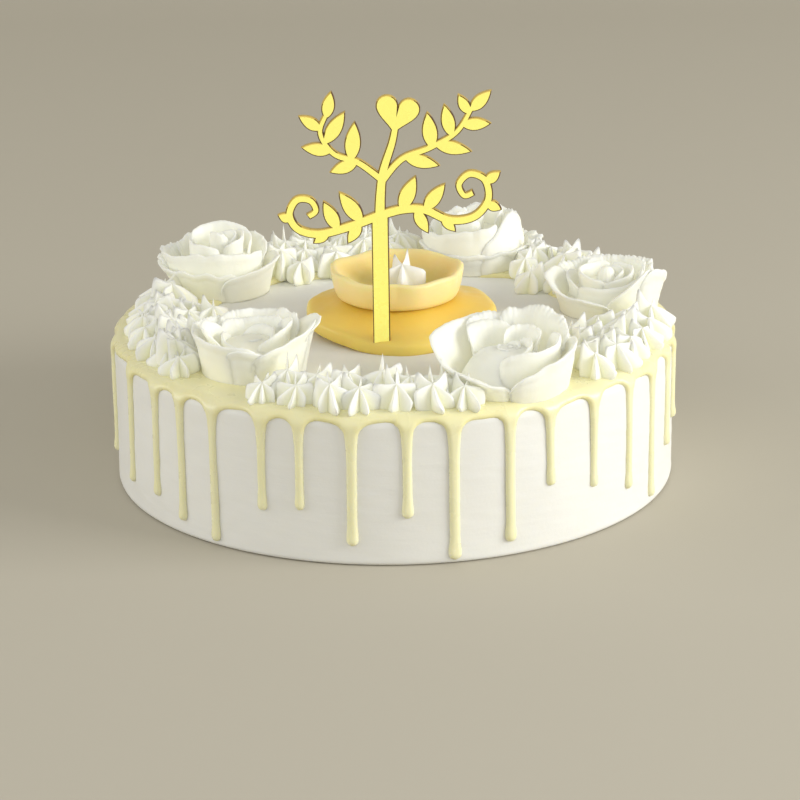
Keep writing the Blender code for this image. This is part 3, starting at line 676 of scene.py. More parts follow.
def rose_front_right(p):
    mound(p, 200, 19.5, 13.5, 3.5, deep=0.0)
    petal(p, 201, [(-172, 22.0, 21.0), (-148, 23.6, 21.2), (-118, 25.6, 19.7), (-91, 28.0, 17.7), (-61, 27.2, 12.6),
                   (-34, 25.8, 9.9), (-14, 24.8, 7.6), (2, 22.8, 5.4)], 19.8, thick=3.0, curl=1.3)
    petal(p, 202, [(0, 24.4, 7.4), (15, 25.4, 11.0), (35, 25.9, 14.8), (59, 25.8, 17.9), (82, 24.8, 18.6),
                   (104, 23.0, 17.6)], 20.6, thick=3.6, curl=1.1, belly=1.0)
    petal(p, 203, [(-16, 13.6, 14.4), (5, 15.6, 16.8), (30, 17.8, 17.7), (58, 19.4, 18.8), (82, 19.2, 19.9),
                   (108, 17.6, 20.0)], 16.0, thick=3.6, belly=1.1, curl=0.9)
    petal(p, 204, [(90, 22.8, 18.8), (118, 23.6, 22.0), (142, 23.0, 23.8), (165, 22.0, 24.0), (188, 19.6, 22.6)],
          17.6, fray=0.7, crumbs=0.24, ruff=0.8, curl=1.6)
    petal(p, 205, [(172, 21.4, 21.6), (198, 21.8, 21.8), (226, 22.6, 20.8)], 17.4, crumbs=0.25, fray=0.4)
    petal(p, 206, [(164, 12.0, 18.6), (184, 13.8, 20.4), (206, 16.6, 20.4), (224, 18.6, 19.8), (236, 19.6, 19.2)],
          13.8, curl=1.3, thick=3.4)
    petal(p, 207, [(96, 11.6, 17.6), (126, 13.0, 19.6), (160, 12.2, 19.8), (190, 9.4, 18.4)], 10.2, crumbs=0.2)
    petal(p, 209, [(-40, 7.4, 12.0), (14, 8.6, 14.4), (64, 9.2, 16.6), (112, 8.6, 17.4), (150, 7.4, 17.0)], 7.4)
    bud(p, 210, 3.8, 15.4, 120, 1.0, 2.5)


def rose_right(p):
    mound(p, 300, 17.4, 11.0, 3.5)
    petal(p, 301, [(-128, 20.6, 14.0), (-106, 22.2, 14.8), (-92, 22.9, 14.0), (-74, 22.6, 10.7), (-50, 21.8, 8.7),
                   (-20, 21.2, 8.2), (2, 20.6, 6.6)], 16.8, thick=2.8, curl=1.5)
    petal(p, 302, [(-8, 20.4, 6.8), (8, 21.2, 10.6), (25, 21.8, 15.6), (40, 21.6, 19.4), (54, 21.0, 19.0),
                   (70, 20.4, 16.0)], 17.4, thick=3.4, curl=1.0)
    petal(p, 303, [(30, 21.8, 15.4), (46, 23.0, 19.4), (62, 23.6, 18.6), (78, 23.6, 15.2), (94, 22.8, 11.6),
                   (112, 21.4, 9.0)], 18.4, thick=3.4, curl=0.8)
    petal(p, 304, [(106, 20.4, 13.2), (126, 20.8, 15.3), (148, 21.0, 15.3), (172, 20.8, 15.0)], 16.8,
          fray=0.55, crumbs=0.42, ruff=0.9, curl=1.5)
    petal(p, 305, [(160, 20.8, 14.6), (188, 20.6, 15.2), (216, 21.0, 14.8), (244, 21.4, 14.0)], 16.8,
          fray=0.55, crumbs=0.4, ruff=0.9, curl=1.5)
    petal(p, 306, [(104, 16.8, 16.0), (136, 16.8, 16.9), (172, 16.4, 16.5), (210, 16.2, 15.8)], 13.8,
          fray=0.4, crumbs=0.35, ruff=0.7)
    petal(p, 307, [(-132, 14.6, 14.0), (-102, 15.2, 13.8), (-72, 14.6, 12.0), (-46, 14.0, 10.6)], 12.6)
    petal(p, 308, [(-62, 13.4, 11.0), (-34, 14.4, 11.8), (2, 15.2, 11.8), (38, 15.2, 13.6), (76, 14.2, 15.2),
                   (100, 13.4, 15.4)], 14.0, thick=3.4, belly=0.8, curl=0.5)
    petal(p, 309, [(-204, 9.6, 15.6), (-160, 9.8, 16.0), (-94, 10.0, 15.8), (-44, 10.2, 14.4), (0, 10.4, 13.6)],
          9.6, thick=2.2, curl=0.7, tip=0.8)
    petal(p, 310, [(-16, 10.6, 13.2), (32, 10.8, 14.8), (80, 10.4, 15.7), (130, 10.0, 16.0), (172, 9.4, 15.4)],
          9.8, thick=2.2, curl=0.7, tip=0.8)
    mound(p, 311, 5.4, 16.4, 3.4, deep=0.1)
    petal(p, 312, [(30, 5.9, 13.6), (80, 6.2, 15.2), (130, 6.2, 15.6), (176, 5.8, 15.0)], 5.8, thick=1.4, curl=0.3)


def rose_back_left(p):
    mound(p, 400, 17.0, 15.5, 5.0)
    petal(p, 401, [(-124, 22.8, 11.4), (-98, 25.0, 11.2), (-76, 24.4, 11.0), (-50, 22.8, 11.6), (-20, 21.8, 11.8),
                   (8, 21.2, 11.2), (30, 20.2, 9.8)], 17.2, thick=3.2, fray=0.35, crumbs=0.12)
    petal(p, 402, [(2, 22.0, 8.6), (20, 22.6, 10.8), (46, 22.9, 12.6), (72, 22.9, 13.8), (100, 22.6, 13.6),
                   (124, 21.6, 12.4)], 17.8, curl=1.2, thick=3.2)
    petal(p, 410, [(-136, 21.6, 14.4), (-116, 24.0, 14.6), (-96, 25.2, 13.6), (-80, 23.4, 12.8)], 17.0, fray=0.9,
          crumbs=0.6, ruff=1.1, curl=1.4)
    petal(p, 403, [(-150, 20.6, 17.2), (-128, 22.0, 16.0), (-104, 23.2, 15.6), (-82, 22.2, 15.8), (-58, 19.4, 16.8),
                   (-32, 17.2, 18.3), (0, 16.6, 18.7), (32, 16.4, 18.2), (60, 16.6, 17.6), (88, 17.0, 16.8)],
          15.2, belly=1.4, thick=3.6, fray=0.3, crumbs=0.14, ruff=0.5)
    petal(p, 404, [(198, 19.4, 19.6), (222, 20.6, 18.4), (246, 21.8, 16.8)], 16.0, fray=0.6, crumbs=0.5, ruff=0.8)
    petal(p, 405, [(88, 18.6, 16.6), (118, 18.4, 18.4), (146, 17.4, 20.4), (174, 16.4, 21.6), (206, 16.8, 20.4)],
          14.6, crumbs=0.25, fray=0.4)
    petal(p, 406, [(84, 12.8, 19.0), (124, 12.4, 22.4), (160, 11.2, 24.6), (200, 11.2, 24.8), (236, 12.2, 23.0),
                   (266, 12.8, 20.4)], 10.8, curl=0.7)
    petal(p, 407, [(-108, 11.6, 20.6), (-72, 11.8, 20.6), (-36, 11.0, 20.6), (0, 10.2, 20.8)], 10.4, belly=0.8,
          thick=3.0)
    petal(p, 408, [(10, 8.4, 20.8), (54, 8.8, 22.4), (96, 8.6, 23.6), (134, 8.0, 24.0)], 7.8)
    bud(p, 409, 4.6, 24.6, -40, 0.5, -0.5)


def rose_back_right(p):
    mound(p, 500, 17.5, 14.5, 5.0)
    petal(p, 501, [(-110, 21.8, 8.6), (-84, 22.0, 9.2), (-50, 21.4, 8.6), (-16, 20.8, 8.4), (20, 21.0, 8.8),
                   (56, 22.4, 9.4), (86, 24.6, 9.8), (104, 25.0, 9.2)], 17.8, thick=3.2, crumbs=0.12)
    petal(p, 502, [(66, 23.6, 9.2), (90, 26.0, 9.8), (112, 25.6, 10.0), (138, 23.2, 10.4)], 18.6,
          fray=0.5, crumbs=0.5, ruff=0.9, curl=1.4)
    petal(p, 503, [(-128, 20.4, 13.2), (-92, 20.8, 13.8), (-56, 19.8, 15.6), (-20, 18.2, 17.6), (10, 16.8, 19.2),
                   (40, 15.2, 20.6)], 16.8, belly=2.2, thick=3.6, fray=0.3)
    petal(p, 504, [(0, 19.6, 9.0), (14, 19.0, 13.2), (32, 17.2, 17.8), (54, 15.0, 21.6), (78, 15.0, 22.3),
                   (100, 17.4, 19.4), (122, 20.2, 14.4)], 18.2, belly=2.0, thick=3.4, curl=0.5)
    petal(p, 505, [(104, 19.4, 16.2), (134, 18.6, 19.2), (166, 17.6, 20.0), (196, 18.0, 19.0), (226, 19.0, 17.0),
                   (250, 20.2, 14.6)], 15.4, fray=0.45, crumbs=0.3, ruff=0.7)
    petal(p, 506, [(58, 10.8, 22.0), (94, 11.0, 23.3), (130, 10.6, 23.5), (166, 10.4, 22.6), (204, 10.4, 21.0)],
          9.6, curl=0.6)
    petal(p, 507, [(-150, 12.0, 19.2), (-104, 12.6, 18.8), (-62, 12.4, 19.4), (-20, 11.4, 20.6), (14, 10.4, 21.4)],
          11.0, belly=1.0, thick=3.0)
    bud(p, 508, 4.6, 21.6, 60, -1.5, 0.0)


# ----------------------------------------------------------------- star dollops
def dollop(parts, seed, x, y, base, width, height, ridges=6, turn=0.0, face=0.0, tilt=1.0):
    """A dollop from an open star tip, its crown tilted to one side: the ridges there run down to
    the foot, those beside it stand level, and those behind end in thin pulled tips."""
    rng = random.Random(seed)
    steps = np.array([-1.0, -0.74, -0.5, -0.3, -0.14, 0.0, 0.14, 0.3, 0.5, 0.74])
    per = len(steps)
    cols = ridges * per
    which = np.arange(cols) // per
    centre = np.tile(steps, ridges)
    pitch = 2 * math.pi / ridges
    shift = np.array([rng.uniform(-0.17, 0.17) for _ in range(ridges)])
    phi = (which + 0.5 + centre / 2) * pitch + shift[which] * pitch * (1 - np.abs(centre)) + turn
    rows = 24
    w = np.linspace(0, 1, rows)
    R = width / 2
    middle = height * 0.64
    groove = through(
        [(0.58 * R, -1.0), (0.54 * R, 0.4), (0.42 * R, 0.28 * middle), (0.30 * R, 0.54 * middle),
         (0.16 * R, 0.80 * middle), (0.0, 0.94 * middle)],
        w,
    )
    paths, sharp = [], []
    for k in range(ridges):
        front = tilt * math.cos((k + 0.5 + shift[k]) * pitch + turn - face)
        out = R * rng.uniform(0.84, 1.18)
        back = max(0.0, -front)
        tip_z = height * (0.58 - 0.36 * front + 0.04 * back) * rng.uniform(0.80, 1.18)
        tip_r = out * (0.86 + 0.12 * front - 0.12 * back) * rng.uniform(0.90, 1.08)
        sag = 0.30 if tip_z < middle else 0.36
        paths.append(
            through(
                [(0.80 * out, -1.0), (0.97 * out, 0.5), (0.5 * (out + tip_r) + 0.04 * R, 0.35 + 0.5 * tip_z),
                 (tip_r, tip_z), (0.46 * tip_r, middle + (tip_z - middle) * sag), (0.0, middle)],
                w,
            )
        )
        sharp.append(rng.uniform(1.15, 1.5) + 1.1 * back)
    paths = np.array(paths)[which]
    sharp = np.array(sharp)[which]
    near_tip = np.exp(-(((w - 0.6) / 0.16) ** 2))[:, None]
    crest = (1 - np.abs(centre))[None, :] ** (1.15 + (sharp[None, :] - 1.0) * near_tip)
    r = groove[:, :1] + (paths[:, :, 0].T - groove[:, :1]) * crest
    z = groove[:, 1:] + (paths[:, :, 1].T - groove[:, 1:]) * crest
    r[-1] = 0.02 * R
    twist = math.radians(rng.uniform(4, 22)) * rng.choice((-1, 1)) * w[:, None] ** 1.3
    a = phi[None, :] + twist
    lean = -0.10 * tilt * np.maximum(z, 0)
    px = x + r * np.sin(a) + lean * math.sin(face)
    py = y - r * np.cos(a) - lean * math.cos(face)
    ring = np.stack([px, py, base + z], -1)[::-1]
    # painted shade: the grooves between the ridges and the low part near the foot take the darker fold colour
    deep = (0.8 * (1 - crest) ** 1.2 * (1 - 0.5 * w[:, None]) + 0.3 * (1 - w[:, None]) ** 2)[::-1]
    foot = ring[-1].copy()
    foot[:, :2] = foot[:, :2].mean(0) + (foot[:, :2] - foot[:, :2].mean(0)) * 0.7
    ring = np.concatenate([ring, foot[None]])
    deep = np.clip(np.concatenate([deep, deep[-1:]]), 0, 1)
    lathe(parts, ring, deep)


def row_of(seed, radius, first, last, count, width, height, jitter=1.0):
    rng = random.Random(seed)
    out = []
    for i in range(count):
        t = i / (count - 1) if count > 1 else 0.5
        a = math.radians(first + (last - first) * t + rng.uniform(-0.8, 0.8) * jitter)
        r = radius + rng.uniform(-1.2, 1.2) * jitter
        size = rng.uniform(0.9, 1.1)
        out.append((r * math.sin(a), -r * math.cos(a), width * size, height * size * rng.uniform(0.9, 1.1)))
    return out


STAR_ROWS = {
    "star_cluster_front": (
        (101.5, -28.5, 15.5, 7, 16.4, 12.4, 58.6),
        (91.5, -24.5, 11.5, 6, 15.6, 14.0, 59.2),
    ),
    "star_cluster_left": (
        (98.5, -53.0, -112.0, 9, 16.4, 11.6, 58.6),
        (89.0, -55.0, -103.0, 6, 16.4, 13.4, 60.2),
        (79.5, -68.0, -95.0, 4, 16.0, 13.0, 59.2),
        (71.5, -71.0, -88.0, 2, 15.0, 11.5, 58.6),
        (93.0, -64.0, -90.0, 3, 15.0, 11.0, 62.0),
    ),
    "star_cluster_back": (
        (101.5, 178.0, 220.0, 7, 16.0, 12.6, 58.6),
        (91.5, 178.0, 218.0, 6, 16.0, 14.4, 59.6),
        (81.5, 181.0, 215.0, 5, 16.0, 14.4, 58.8),
        (73.0, 184.0, 212.0, 3, 15.6, 12.6, 58.4),
    ),
    "star_cluster_back_right": (
        (101.5, 122.0, 140.0, 3, 16.0, 13.0, 58.6),
        (90.0, 121.0, 140.0, 3, 16.0, 14.0, 59.2),
        (79.5, 122.0, 137.0, 2, 15.0, 12.5, 58.8),
        (70.5, 128.0, 128.0, 1, 14.0, 11.0, 58.4),
    ),
    "star_cluster_right": (
        (101.5, 49.0, 84.0, 6, 16.0, 12.8, 58.6),
        (91.0, 52.0, 80.0, 5, 15.6, 14.2, 59.4),
        (81.0, 57.0, 76.0, 3, 15.4, 13.8, 59.0),
        (74.0, 63.0, 72.0, 1, 14.0, 12.0, 58.4),
    ),
}

# where the roses stand: centre and the radius that dollops keep off
ROSE_SPOTS = (
    (-70.0, 52.0, 23.5), (-53.8, -54.6, 23.0), (34.3, 83.7, 24.0), (85.0, 19.3, 22.5), (42.5, -75.0, 24.5),
)


def star_cluster(name, rows):
    parts = Parts()
    rng = random.Random(name)
    k = 0
    for n, (radius, first, last, count, width, height, base) in enumerate(rows):
        for x, y, w, h in row_of(name + str(n), radius, first, last, count, width, height):
            for rx, ry, keep in ROSE_SPOTS:
                dx, dy = x - rx, y - ry
                d = math.hypot(dx, dy)
                if d < keep + w * 0.30:
                    x, y = rx + dx / d * (keep + w * 0.30), ry + dy / d * (keep + w * 0.30)
            far = math.hypot(x, y)
            most = CAKE_R + 0.6 - w / 2
            if far > most:
                x, y = x * most / far, y * most / far
            k += 1
            # the outer dollops lean out over the edge, the inner ones towards the middle
            spread = 0.4 if n == 0 else 0.8
            inward = n > 0 and name != "star_cluster_front" and radius < 92.0
            dollop(
                parts, name + str(k), x, y, base + rng.uniform(-0.3, 0.4), w, h,
                ridges=rng.choice((5, 6, 6, 7)), turn=rng.uniform(0, 6.3),
                face=math.atan2(x, -y) + (math.pi if inward else 0.0) + rng.uniform(-spread, spread),
                tilt=rng.uniform(0.7, 1.1),
            )
    made = parts.object(name + "_stars", STARS)
    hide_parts(name)
    return made


# ----------------------------------------------------------------- fruit flower
def wave_at(a, lobes, phase):
    return np.abs(np.cos(lobes * (a - math.radians(phase)) / 2)) - 0.6


def fruit_base():
    cols = 240
    a = np.arange(cols) / cols * 2 * math.pi
    top = CAKE_H + 0.3
    # radius, height above the frosting, share of the lobes and of the lift at the sides, painted shade (1 darkest,
    # under the cup; 0 at the light rim)
    outline = [
        (1.0, 10.9, 0.0, 1.0), (10.0, 10.9, 0.0, 1.0), (18.0, 11.2, 0.05, 1.0), (21.5, 11.6, 0.12, 0.95),
        (24.5, 10.2, 0.28, 0.8), (27.5, 8.4, 0.45, 0.62), (30.5, 6.9, 0.62, 0.48), (33.5, 5.7, 0.8, 0.38),
        (36.0, 4.9, 0.93, 0.28), (38.0, 4.2, 1.0, 0.16), (39.2, 3.3, 1.0, 0.05), (39.5, 2.2, 1.0, 0.0),
        (39.6, 1.0, 1.0, 0.1), (39.6, -0.2, 1.0, 0.3), (39.4, -0.9, 1.0, 0.4), (33.0, -0.9, 0.5, 0.5), (20.0, -0.6, 0.0, 0.6),
        (1.0, -0.6, 0.0, 0.6),
    ]
    fine = []
    for one, two in zip(outline, outline[1:]):
        for f in (0.0, 0.5):
            fine.append([p + (q - p) * f for p, q in zip(one, two)])
    fine.append(list(outline[-1]))
    g = np.array(fine)
    r, z, w, d = (g[:, k : k + 1] for k in range(4))
    A = a[None, :]
    wave = wave_at(A, 5, 0.0)
    grow = 1 + 0.045 * w * wave + 0.008 * w * wobble(31, A * 20, 5, 0.03, 0.1, 40 * math.pi)
    lift = 4.5 * w * (1 - np.cos(2 * A)) / 2
    upper = smoothstep(0.4, 3.0, z)
    rr = r * grow
    zz = top + z + lift * 1.0 + upper * (0.25 * wobble2(32, r * np.sin(A), r * np.cos(A), 8, 0.02, 0.06))
    x, y = 0.94 * rr * np.sin(A), -rr * np.cos(A)
    parts = Parts()
    lathe(parts, np.stack([FLOWER_X + x, FLOWER_Y + y, zz], -1), d + 0 * x)
    made = parts.object("fruit_lower_tier", FRUIT_LOW)
    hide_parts("fruit_base")
    return made


def fruit_cup():
    cols = 240
    a = np.arange(cols) / cols * 2 * math.pi
    foot = CAKE_H + 0.3 + 11.0 + 0.3
    # radius, height above the foot, share of the lobes and of the rim wobble, painted shade: darkest in the bowl and
    # under the foot, lightest at the rim
    outline = [
        (1.0, 4.6, 0.0, 0.95), (9.0, 4.7, 0.0, 0.95), (15.0, 5.3, 0.0, 0.92), (18.5, 6.8, 0.1, 0.85), (20.6, 8.6, 0.4, 0.74),
        (22.0, 10.0, 0.75, 0.62), (23.1, 11.1, 1.0, 0.46), (24.1, 11.8, 1.0, 0.25), (25.1, 11.9, 1.0, 0.1),
        (25.9, 11.2, 1.0, 0.15), (25.9, 9.9, 1.0, 0.18), (25.6, 7.5, 0.8, 0.25), (25.1, 5.0, 0.5, 0.3),
        (24.5, 3.0, 0.3, 0.4), (23.7, 1.3, 0.1, 0.6), (21.4, 0.1, 0.0, 0.8), (12.0, 0.0, 0.0, 0.9), (1.0, 0.0, 0.0, 0.9),
    ]
    fine = []
    for one, two in zip(outline, outline[1:]):
        for f in (0.0, 0.5):
            fine.append([p + (q - p) * f for p, q in zip(one, two)])
    fine.append(list(outline[-1]))
    g = np.array(fine)
    r, z, w, d = (g[:, k : k + 1] for k in range(4))
    A = a[None, :]
    wave = wave_at(A, 5, 36.0)
    grow = 1 + 0.05 * w * wave + 0.008 * w * wobble(33, A * 20, 5, 0.03, 0.1, 40 * math.pi)
    rr = r * grow
    zz = foot + z + 0.35 * w * wobble(34, A * 20, 3, 0.02, 0.06, 40 * math.pi)
    x, y = rr * np.sin(A), -rr * np.cos(A)
    parts = Parts()
    lathe(parts, np.stack([FLOWER_X - 1.4 + x, FLOWER_Y + y, zz], -1), d + 0 * x)
    made = parts.object("fruit_upper_tier", FRUIT_HIGH)
    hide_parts("fruit_cup")
    return made


def cream_star():
    parts = Parts()
    foot = CAKE_H + 0.3 + 11.0 + 0.3 + 4.4
    dollop(parts, "middle", FLOWER_X + 0.8, FLOWER_Y, foot, 16.0, 13.0, ridges=5, turn=0.63, face=0.0, tilt=0.9)
    made = parts.object("middle_star", MIDDLE)
    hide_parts("cream_star")
    return made


# --------------------------------------------------------------------- topper
def stroke(points, width, end_width=None, samples=10):
    line = []
    count = len(points) - 1
    for s in range(samples + 1):
        t = s / samples * count
        k = min(int(t), count - 1)
        f = t - k
        p0, p1 = points[max(k - 1, 0)], points[k]
        p2, p3 = points[k + 1], points[min(k + 2, count)]
        line.append(
            tuple(
                0.5
                * (
                    2 * p1[c]
                    + (p2[c] - p0[c]) * f
                    + (2 * p0[c] - 5 * p1[c] + 4 * p2[c] - p3[c]) * f * f
                    + (3 * p1[c] - p0[c] - 3 * p2[c] + p3[c]) * f**3
                )
                for c in (0, 1)
            )
        )
    left, right = [], []
    end_width = width if end_width is None else end_width
    for k, (x, z) in enumerate(line):
        ax, az = line[max(k - 1, 0)]
        bx, bz = line[min(k + 1, samples)]
        d = math.hypot(bx - ax, bz - az)
        nx, nz = -(bz - az) / d, (bx - ax) / d
        w = (width + (end_width - width) * k / samples) / 2
        left.append((x + nx * w, z + nz * w))
        right.append((x - nx * w, z - nz * w))
    return left + right[::-1]


def leaf(x, z, angle, length, width):
    points = []
    n = 12
    a = math.radians(angle)
    for side in (1, -1):
        for k in range(n + 1) if side == 1 else range(n - 1, -1, -1):
            t = k / n
            w = side * math.sin(math.pi * min(1.0, 0.06 + 0.94 * t) ** 0.85) ** 0.85 if t < 1 else 0.0
            px, pz = t * length, w * width / 2
            points.append((x + px * math.cos(a) - pz * math.sin(a), z + px * math.sin(a) + pz * math.cos(a)))
    return points


def heart(x, z, size, tilt):
    points = []
    a = math.radians(tilt)
    for k in range(48):
        t = 2 * math.pi * k / 48
        hx = size * 0.5 * math.sin(t) ** 3
        hz = size * (0.406 * math.cos(t) - 0.156 * math.cos(2 * t) - 0.0625 * math.cos(3 * t) - 0.031 * math.cos(4 * t))
        points.append((x + hx * math.cos(a) - hz * math.sin(a), z + hx * math.sin(a) + hz * math.cos(a)))
    return points


def topper_outlines():
    """Scrollwork: a scroll on each side of the stem carries leaves, and two leafy sprays with a heart rise above."""
    left_scroll = [
        (-4.0, 112.9), (-16.0, 108.4), (-27.5, 105.6), (-35.6, 107.6), (-38.8, 113.4), (-36.0, 119.0),
        (-30.8, 118.8), (-28.8, 114.8), (-31.8, 112.4),
    ]
    right_scroll = [
        (-4.5, 112.6), (4.0, 114.8), (12.5, 114.6), (22.0, 110.4), (31.2, 111.6), (36.6, 118.2),
        (35.4, 126.0), (29.6, 128.4), (25.6, 124.4), (27.6, 120.0), (31.2, 121.2),
    ]
    left = [(-4.0, 127.0), (-12.5, 133.5), (-21.5, 137.0), (-26.5, 145.0), (-24.0, 152.5)]
    right = [(-3.5, 126.0), (4.0, 134.5), (15.0, 139.0), (25.0, 145.0), (31.0, 155.0)]
    shapes = [
        stroke([(STICK_X, CAKE_H - STICK_DEPTH), (STICK_X, 112.6)], STICK_W, samples=1),
        stroke([(STICK_X, 111.0), (-4.2, 120.0), (-3.0, 130.0), (0.5, 141.0), (2.0, 148.5)], 4.6, 2.8, 24),
        stroke(left_scroll, 4.0, 2.6, 80),
        stroke(right_scroll, 4.0, 2.6, 100),
        stroke(left, 3.2, 2.2, 36),
        stroke(right, 3.2, 2.2, 36),
        heart(2.5, 152.5, 17.0, -10.0),
    ]
    for x, z, angle, length, width in (
        (-11.5, 110.4, 126.0, 14.5, 6.4), (-20.5, 107.4, 116.0, 12.5, 5.8),
        (3.5, 114.8, 66.0, 14.5, 6.4), (12.5, 114.6, 52.0, 13.0, 5.8),
        (-12.0, 109.6, 238.0, 9.5, 5.0), (-24.0, 106.0, 214.0, 7.5, 4.2), (9.0, 114.4, -62.0, 10.5, 5.2),
        (19.0, 111.6, -48.0, 8.0, 4.4),
        (-38.2, 111.2, 158.0, 5.6, 4.2), (36.0, 116.8, -24.0, 6.4, 4.4), (35.6, 125.0, 36.0, 7.2, 4.6),
        (-13.0, 133.4, 200.0, 11.0, 5.4), (-15.0, 134.6, 84.0, 15.0, 6.4), (-22.5, 138.0, 172.0, 11.5, 5.4),
        (-24.4, 141.5, 58.0, 14.0, 6.0), (-26.2, 146.5, 148.0, 10.0, 5.0), (-24.2, 151.0, 78.0, 10.5, 5.2),
        (5.5, 135.0, -14.0, 13.5, 5.6), (15.5, 139.0, 97.0, 14.0, 6.2), (17.0, 140.0, -12.0, 14.0, 5.6),
        (22.8, 143.6, 102.0, 12.5, 5.6), (27.0, 147.6, 2.0, 11.0, 5.2), (30.2, 153.2, 44.0, 11.0, 5.2),
        (29.4, 152.0, 118.0, 8.5, 4.6),
    ):
        shapes.append(leaf(x, z, angle, length, width))
    return shapes


def within(point, shape):
    inside = False
    for (ax, az), (bx, bz) in zip(shape, shape[1:] + shape[:1]):
        if (az > point[1]) != (bz > point[1]):
            if point[0] < ax + (point[1] - az) * (bx - ax) / (bz - az):
                inside = not inside
    return inside


def united(shapes):
    """The outer and inner loops of the union of some flat outlines."""
    points, faces = [], []
    for shape in shapes:
        faces.append(list(range(len(points), len(points) + len(shape))))
        points += [Vector(p) for p in shape]
    verts, _, found, _, _, _ = delaunay_2d_cdt(points, [], faces, 1, 1e-4)
    boxes = [
        (min(p[0] for p in s), max(p[0] for p in s), min(p[1] for p in s), max(p[1] for p in s)) for s in shapes
    ]
    heading = {}
    for face in found:
        mx = sum(verts[k].x for k in face) / len(face)
        mz = sum(verts[k].y for k in face) / len(face)
        if not any(
            b[0] <= mx <= b[1] and b[2] <= mz <= b[3] and within((mx, mz), s) for s, b in zip(shapes, boxes)
        ):
            continue
        area = sum(verts[a].x * verts[b].y - verts[b].x * verts[a].y for a, b in zip(face, face[1:] + face[:1]))
        ring = list(face) if area > 0 else list(face)[::-1]
        for a, b in zip(ring, ring[1:] + ring[:1]):
            heading[(a, b)] = True
    follow = {}
    for a, b in heading:
        if (b, a) not in heading:
            follow.setdefault(a, []).append(b)
    loops = []
    while follow:
        start = next(iter(follow))
        loop, here, came = [], start, None
        while True:
            nexts = follow[here]
            pick = nexts[0]
            if len(nexts) > 1 and came is not None:
                back = verts[came] - verts[here]

                def turn(n):
                    ahead = verts[n] - verts[here]
                    return math.atan2(back.x * ahead.y - back.y * ahead.x, back.dot(ahead)) % (2 * math.pi)

                pick = min(nexts, key=turn)
            nexts.remove(pick)
            if not nexts:
                del follow[here]
            loop.append(here)
            came, here = here, pick
            if here == start:
                break
        loops.append([(verts[k].x, verts[k].y) for k in loop])
    return loops


def topper():
    bevel = 0.46
    curve = bpy.data.curves.new("topper_outline", "CURVE")
    curve.dimensions = "2D"
    curve.fill_mode = "BOTH"
    curve.extrude = (TOPPER_T / 2 - bevel) * MM
    curve.bevel_depth = bevel * MM
    curve.bevel_resolution = 1
    curve.offset = -bevel * MM
    for loop in united(topper_outlines()):
        area = abs(sum(a[0] * b[1] - b[0] * a[1] for a, b in zip(loop, loop[1:] + loop[:1]))) / 2
        if area < 3.0:
            continue
        kept = [p for k, p in enumerate(loop) if math.hypot(p[0] - loop[k - 1][0], p[1] - loop[k - 1][1]) > 0.12]
        spline = curve.splines.new("POLY")
        spline.points.add(len(kept) - 1)
        spline.use_cyclic_u = True
        for point, (x, z) in zip(spline.points, kept):
            point.co = (x * MM, z * MM, 0.0, 1.0)
    flat = bpy.data.objects.new("topper_flat", curve)
    bpy.context.scene.collection.objects.link(flat)
    bpy.context.view_layer.update()
    graph = bpy.context.evaluated_depsgraph_get()
    mesh = bpy.data.meshes.new_from_object(flat.evaluated_get(graph))
    bpy.data.objects.remove(flat, do_unlink=True)
    mesh.transform(Matrix.Translation((0, TOPPER_Y * MM, 0)) @ Matrix.Rotation(math.radians(90), 4, "X"))
    bm = bmesh.new()
    bm.from_mesh(mesh)
    bmesh.ops.remove_doubles(bm, verts=bm.verts, dist=0.000005)
    bmesh.ops.recalc_face_normals(bm, faces=bm.faces)
    mesh.materials.clear()
    for mat in (GOLD, GOLD_LIT, GOLD_SHADED):
        mesh.materials.append(mat)
    # painted light and shade: edge faces turned up and a little to the left get the lit gold, the others the shaded
    # dark gold
    for face in bm.faces:
        n = face.normal
        if abs(n.y) > 0.96:
            face.material_index = 0
        elif 0.8 * n.z - 0.3 * n.x > 0.22:
            face.material_index = 1
        else:
            face.material_index = 2
        face.smooth = False
    bm.to_mesh(mesh)
    bm.free()
    made = bpy.data.objects.new("topper_scrollwork", mesh)
    bpy.context.scene.collection.objects.link(made)
    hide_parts("topper")
    return made


pieces = [frosting(), drip_glaze()]
for name, x, y, make in (
    ("rose_back_left", -70.0, 52.0, rose_back_left),
    ("rose_front_left", -53.8, -54.6, rose_front_left),
    ("rose_back_right", 34.3, 83.7, rose_back_right),
    ("rose_right", 85.0, 19.3, rose_right),
    ("rose_front_right", 42.5, -75.0, rose_front_right),
):
    pieces.append(rose(name, x, y, 58.6, make))
for name, rows in STAR_ROWS.items():
    pieces.append(star_cluster(name, rows))
pieces += [fruit_base(), fruit_cup(), cream_star(), topper()]
for piece in pieces:
    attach(piece, "root")


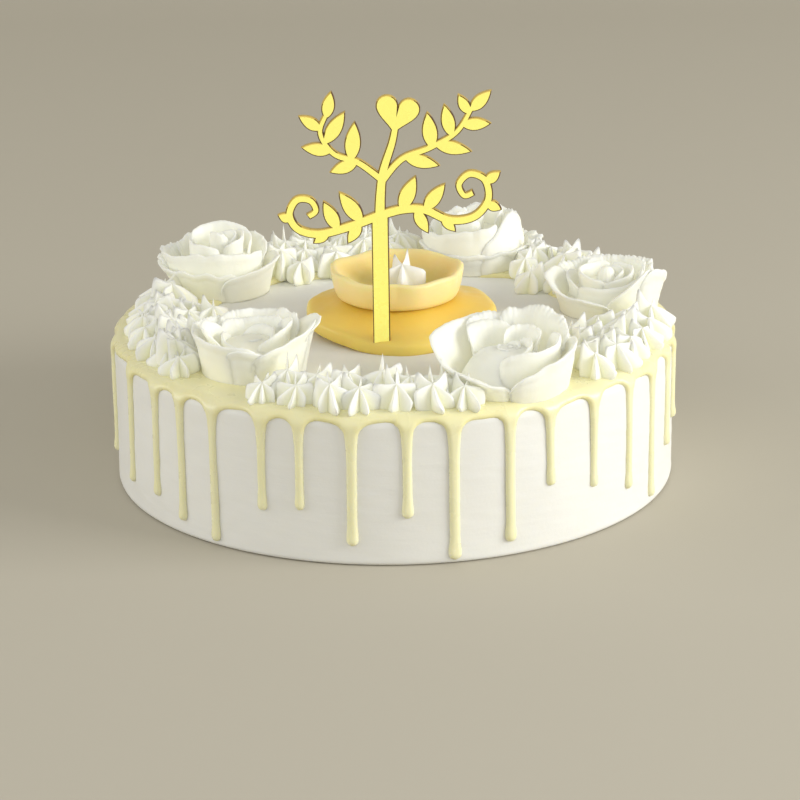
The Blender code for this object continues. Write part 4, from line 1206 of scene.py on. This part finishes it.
# ---------------------------------------------------------------- stage, light
def stage():
    made, tree, shader = node_material("paper")
    tree.links.new(
        mix(tree, noise(tree, 1.2, 2.0), (0.50, 0.465, 0.38), (0.53, 0.495, 0.41)), shader.inputs["Base Color"]
    )
    shader.inputs["Roughness"].default_value = 0.85
    shader.inputs["Specular IOR Level"].default_value = 0.1
    half, back, front, tall, bend = 3.2, 1.5, -3.0, 2.6, 0.7
    line = [(front, 0.0), (back - bend, 0.0)]
    for k in range(1, 13):
        a = math.radians(90.0 * k / 12)
        line.append((back - bend + bend * math.sin(a), bend - bend * math.cos(a)))
    line.append((back, tall))
    verts = []
    for y, z in line:
        verts += [(-half, y, z - 0.0003), (half, y, z - 0.0003)]
    faces = [(2 * k, 2 * k + 1, 2 * k + 3, 2 * k + 2) for k in range(len(line) - 1)]
    mesh = bpy.data.meshes.new("backdrop")
    mesh.from_pydata(verts, [], faces)
    for polygon in mesh.polygons:
        polygon.use_smooth = True
    mesh.materials.append(made)
    obj = bpy.data.objects.new("backdrop", mesh)
    bpy.context.scene.collection.objects.link(obj)


def area_light(name, place, aim, size, power, colour):
    data = bpy.data.lights.new(name, "AREA")
    data.shape = "RECTANGLE"
    data.size, data.size_y = size
    data.energy = power
    data.color = colour
    obj = bpy.data.objects.new(name, data)
    obj.location = place
    obj.rotation_euler = (Vector(aim) - Vector(place)).to_track_quat("-Z", "Y").to_euler()
    bpy.context.scene.collection.objects.link(obj)


stage()
area_light("key", (1.5, -0.5, 0.56), (0.0, 0.0, 0.06), (1.0, 0.7), 22.0, (1.0, 0.995, 0.98))
area_light("left", (-1.6, -0.2, 0.42), (0.0, 0.0, 0.06), (1.0, 0.7), 7.0, (1.0, 0.985, 0.95))
area_light("front", (-0.3, -1.75, 1.1), (0.0, 0.0, 0.06), (1.4, 0.8), 3.6, (1.0, 0.99, 0.965))
world = bpy.data.worlds.new("studio")
world.use_nodes = True
world.node_tree.nodes["Background"].inputs["Color"].default_value = (1.0, 0.995, 0.975, 1.0)
world.node_tree.nodes["Background"].inputs["Strength"].default_value = 0.63
bpy.context.scene.world = world
bpy.context.scene.view_settings.view_transform = "Standard"

# ---------------------------------------------------------------------- camera
PITCH, ROLL = 0.3349, -0.0137
forward = Vector((0.0, math.cos(PITCH), -math.sin(PITCH)))
right = Vector((1.0, 0.0, 0.0))
up = right.cross(forward)
c, s = math.cos(ROLL), math.sin(ROLL)
right, up = c * right + s * up, -s * right + c * up
data = bpy.data.cameras.new("camera")
data.sensor_width = 36.0
data.lens = 3371.9 * 36.0 / 800.0
data.clip_start, data.clip_end = 0.05, 20.0
camera = bpy.data.objects.new("camera", data)
turn = Matrix((right, up, -forward)).transposed().to_4x4()
camera.matrix_world = Matrix.Translation((0.002156, -1.26536, 0.46692)) @ turn
bpy.context.scene.collection.objects.link(camera)
bpy.context.scene.camera = camera
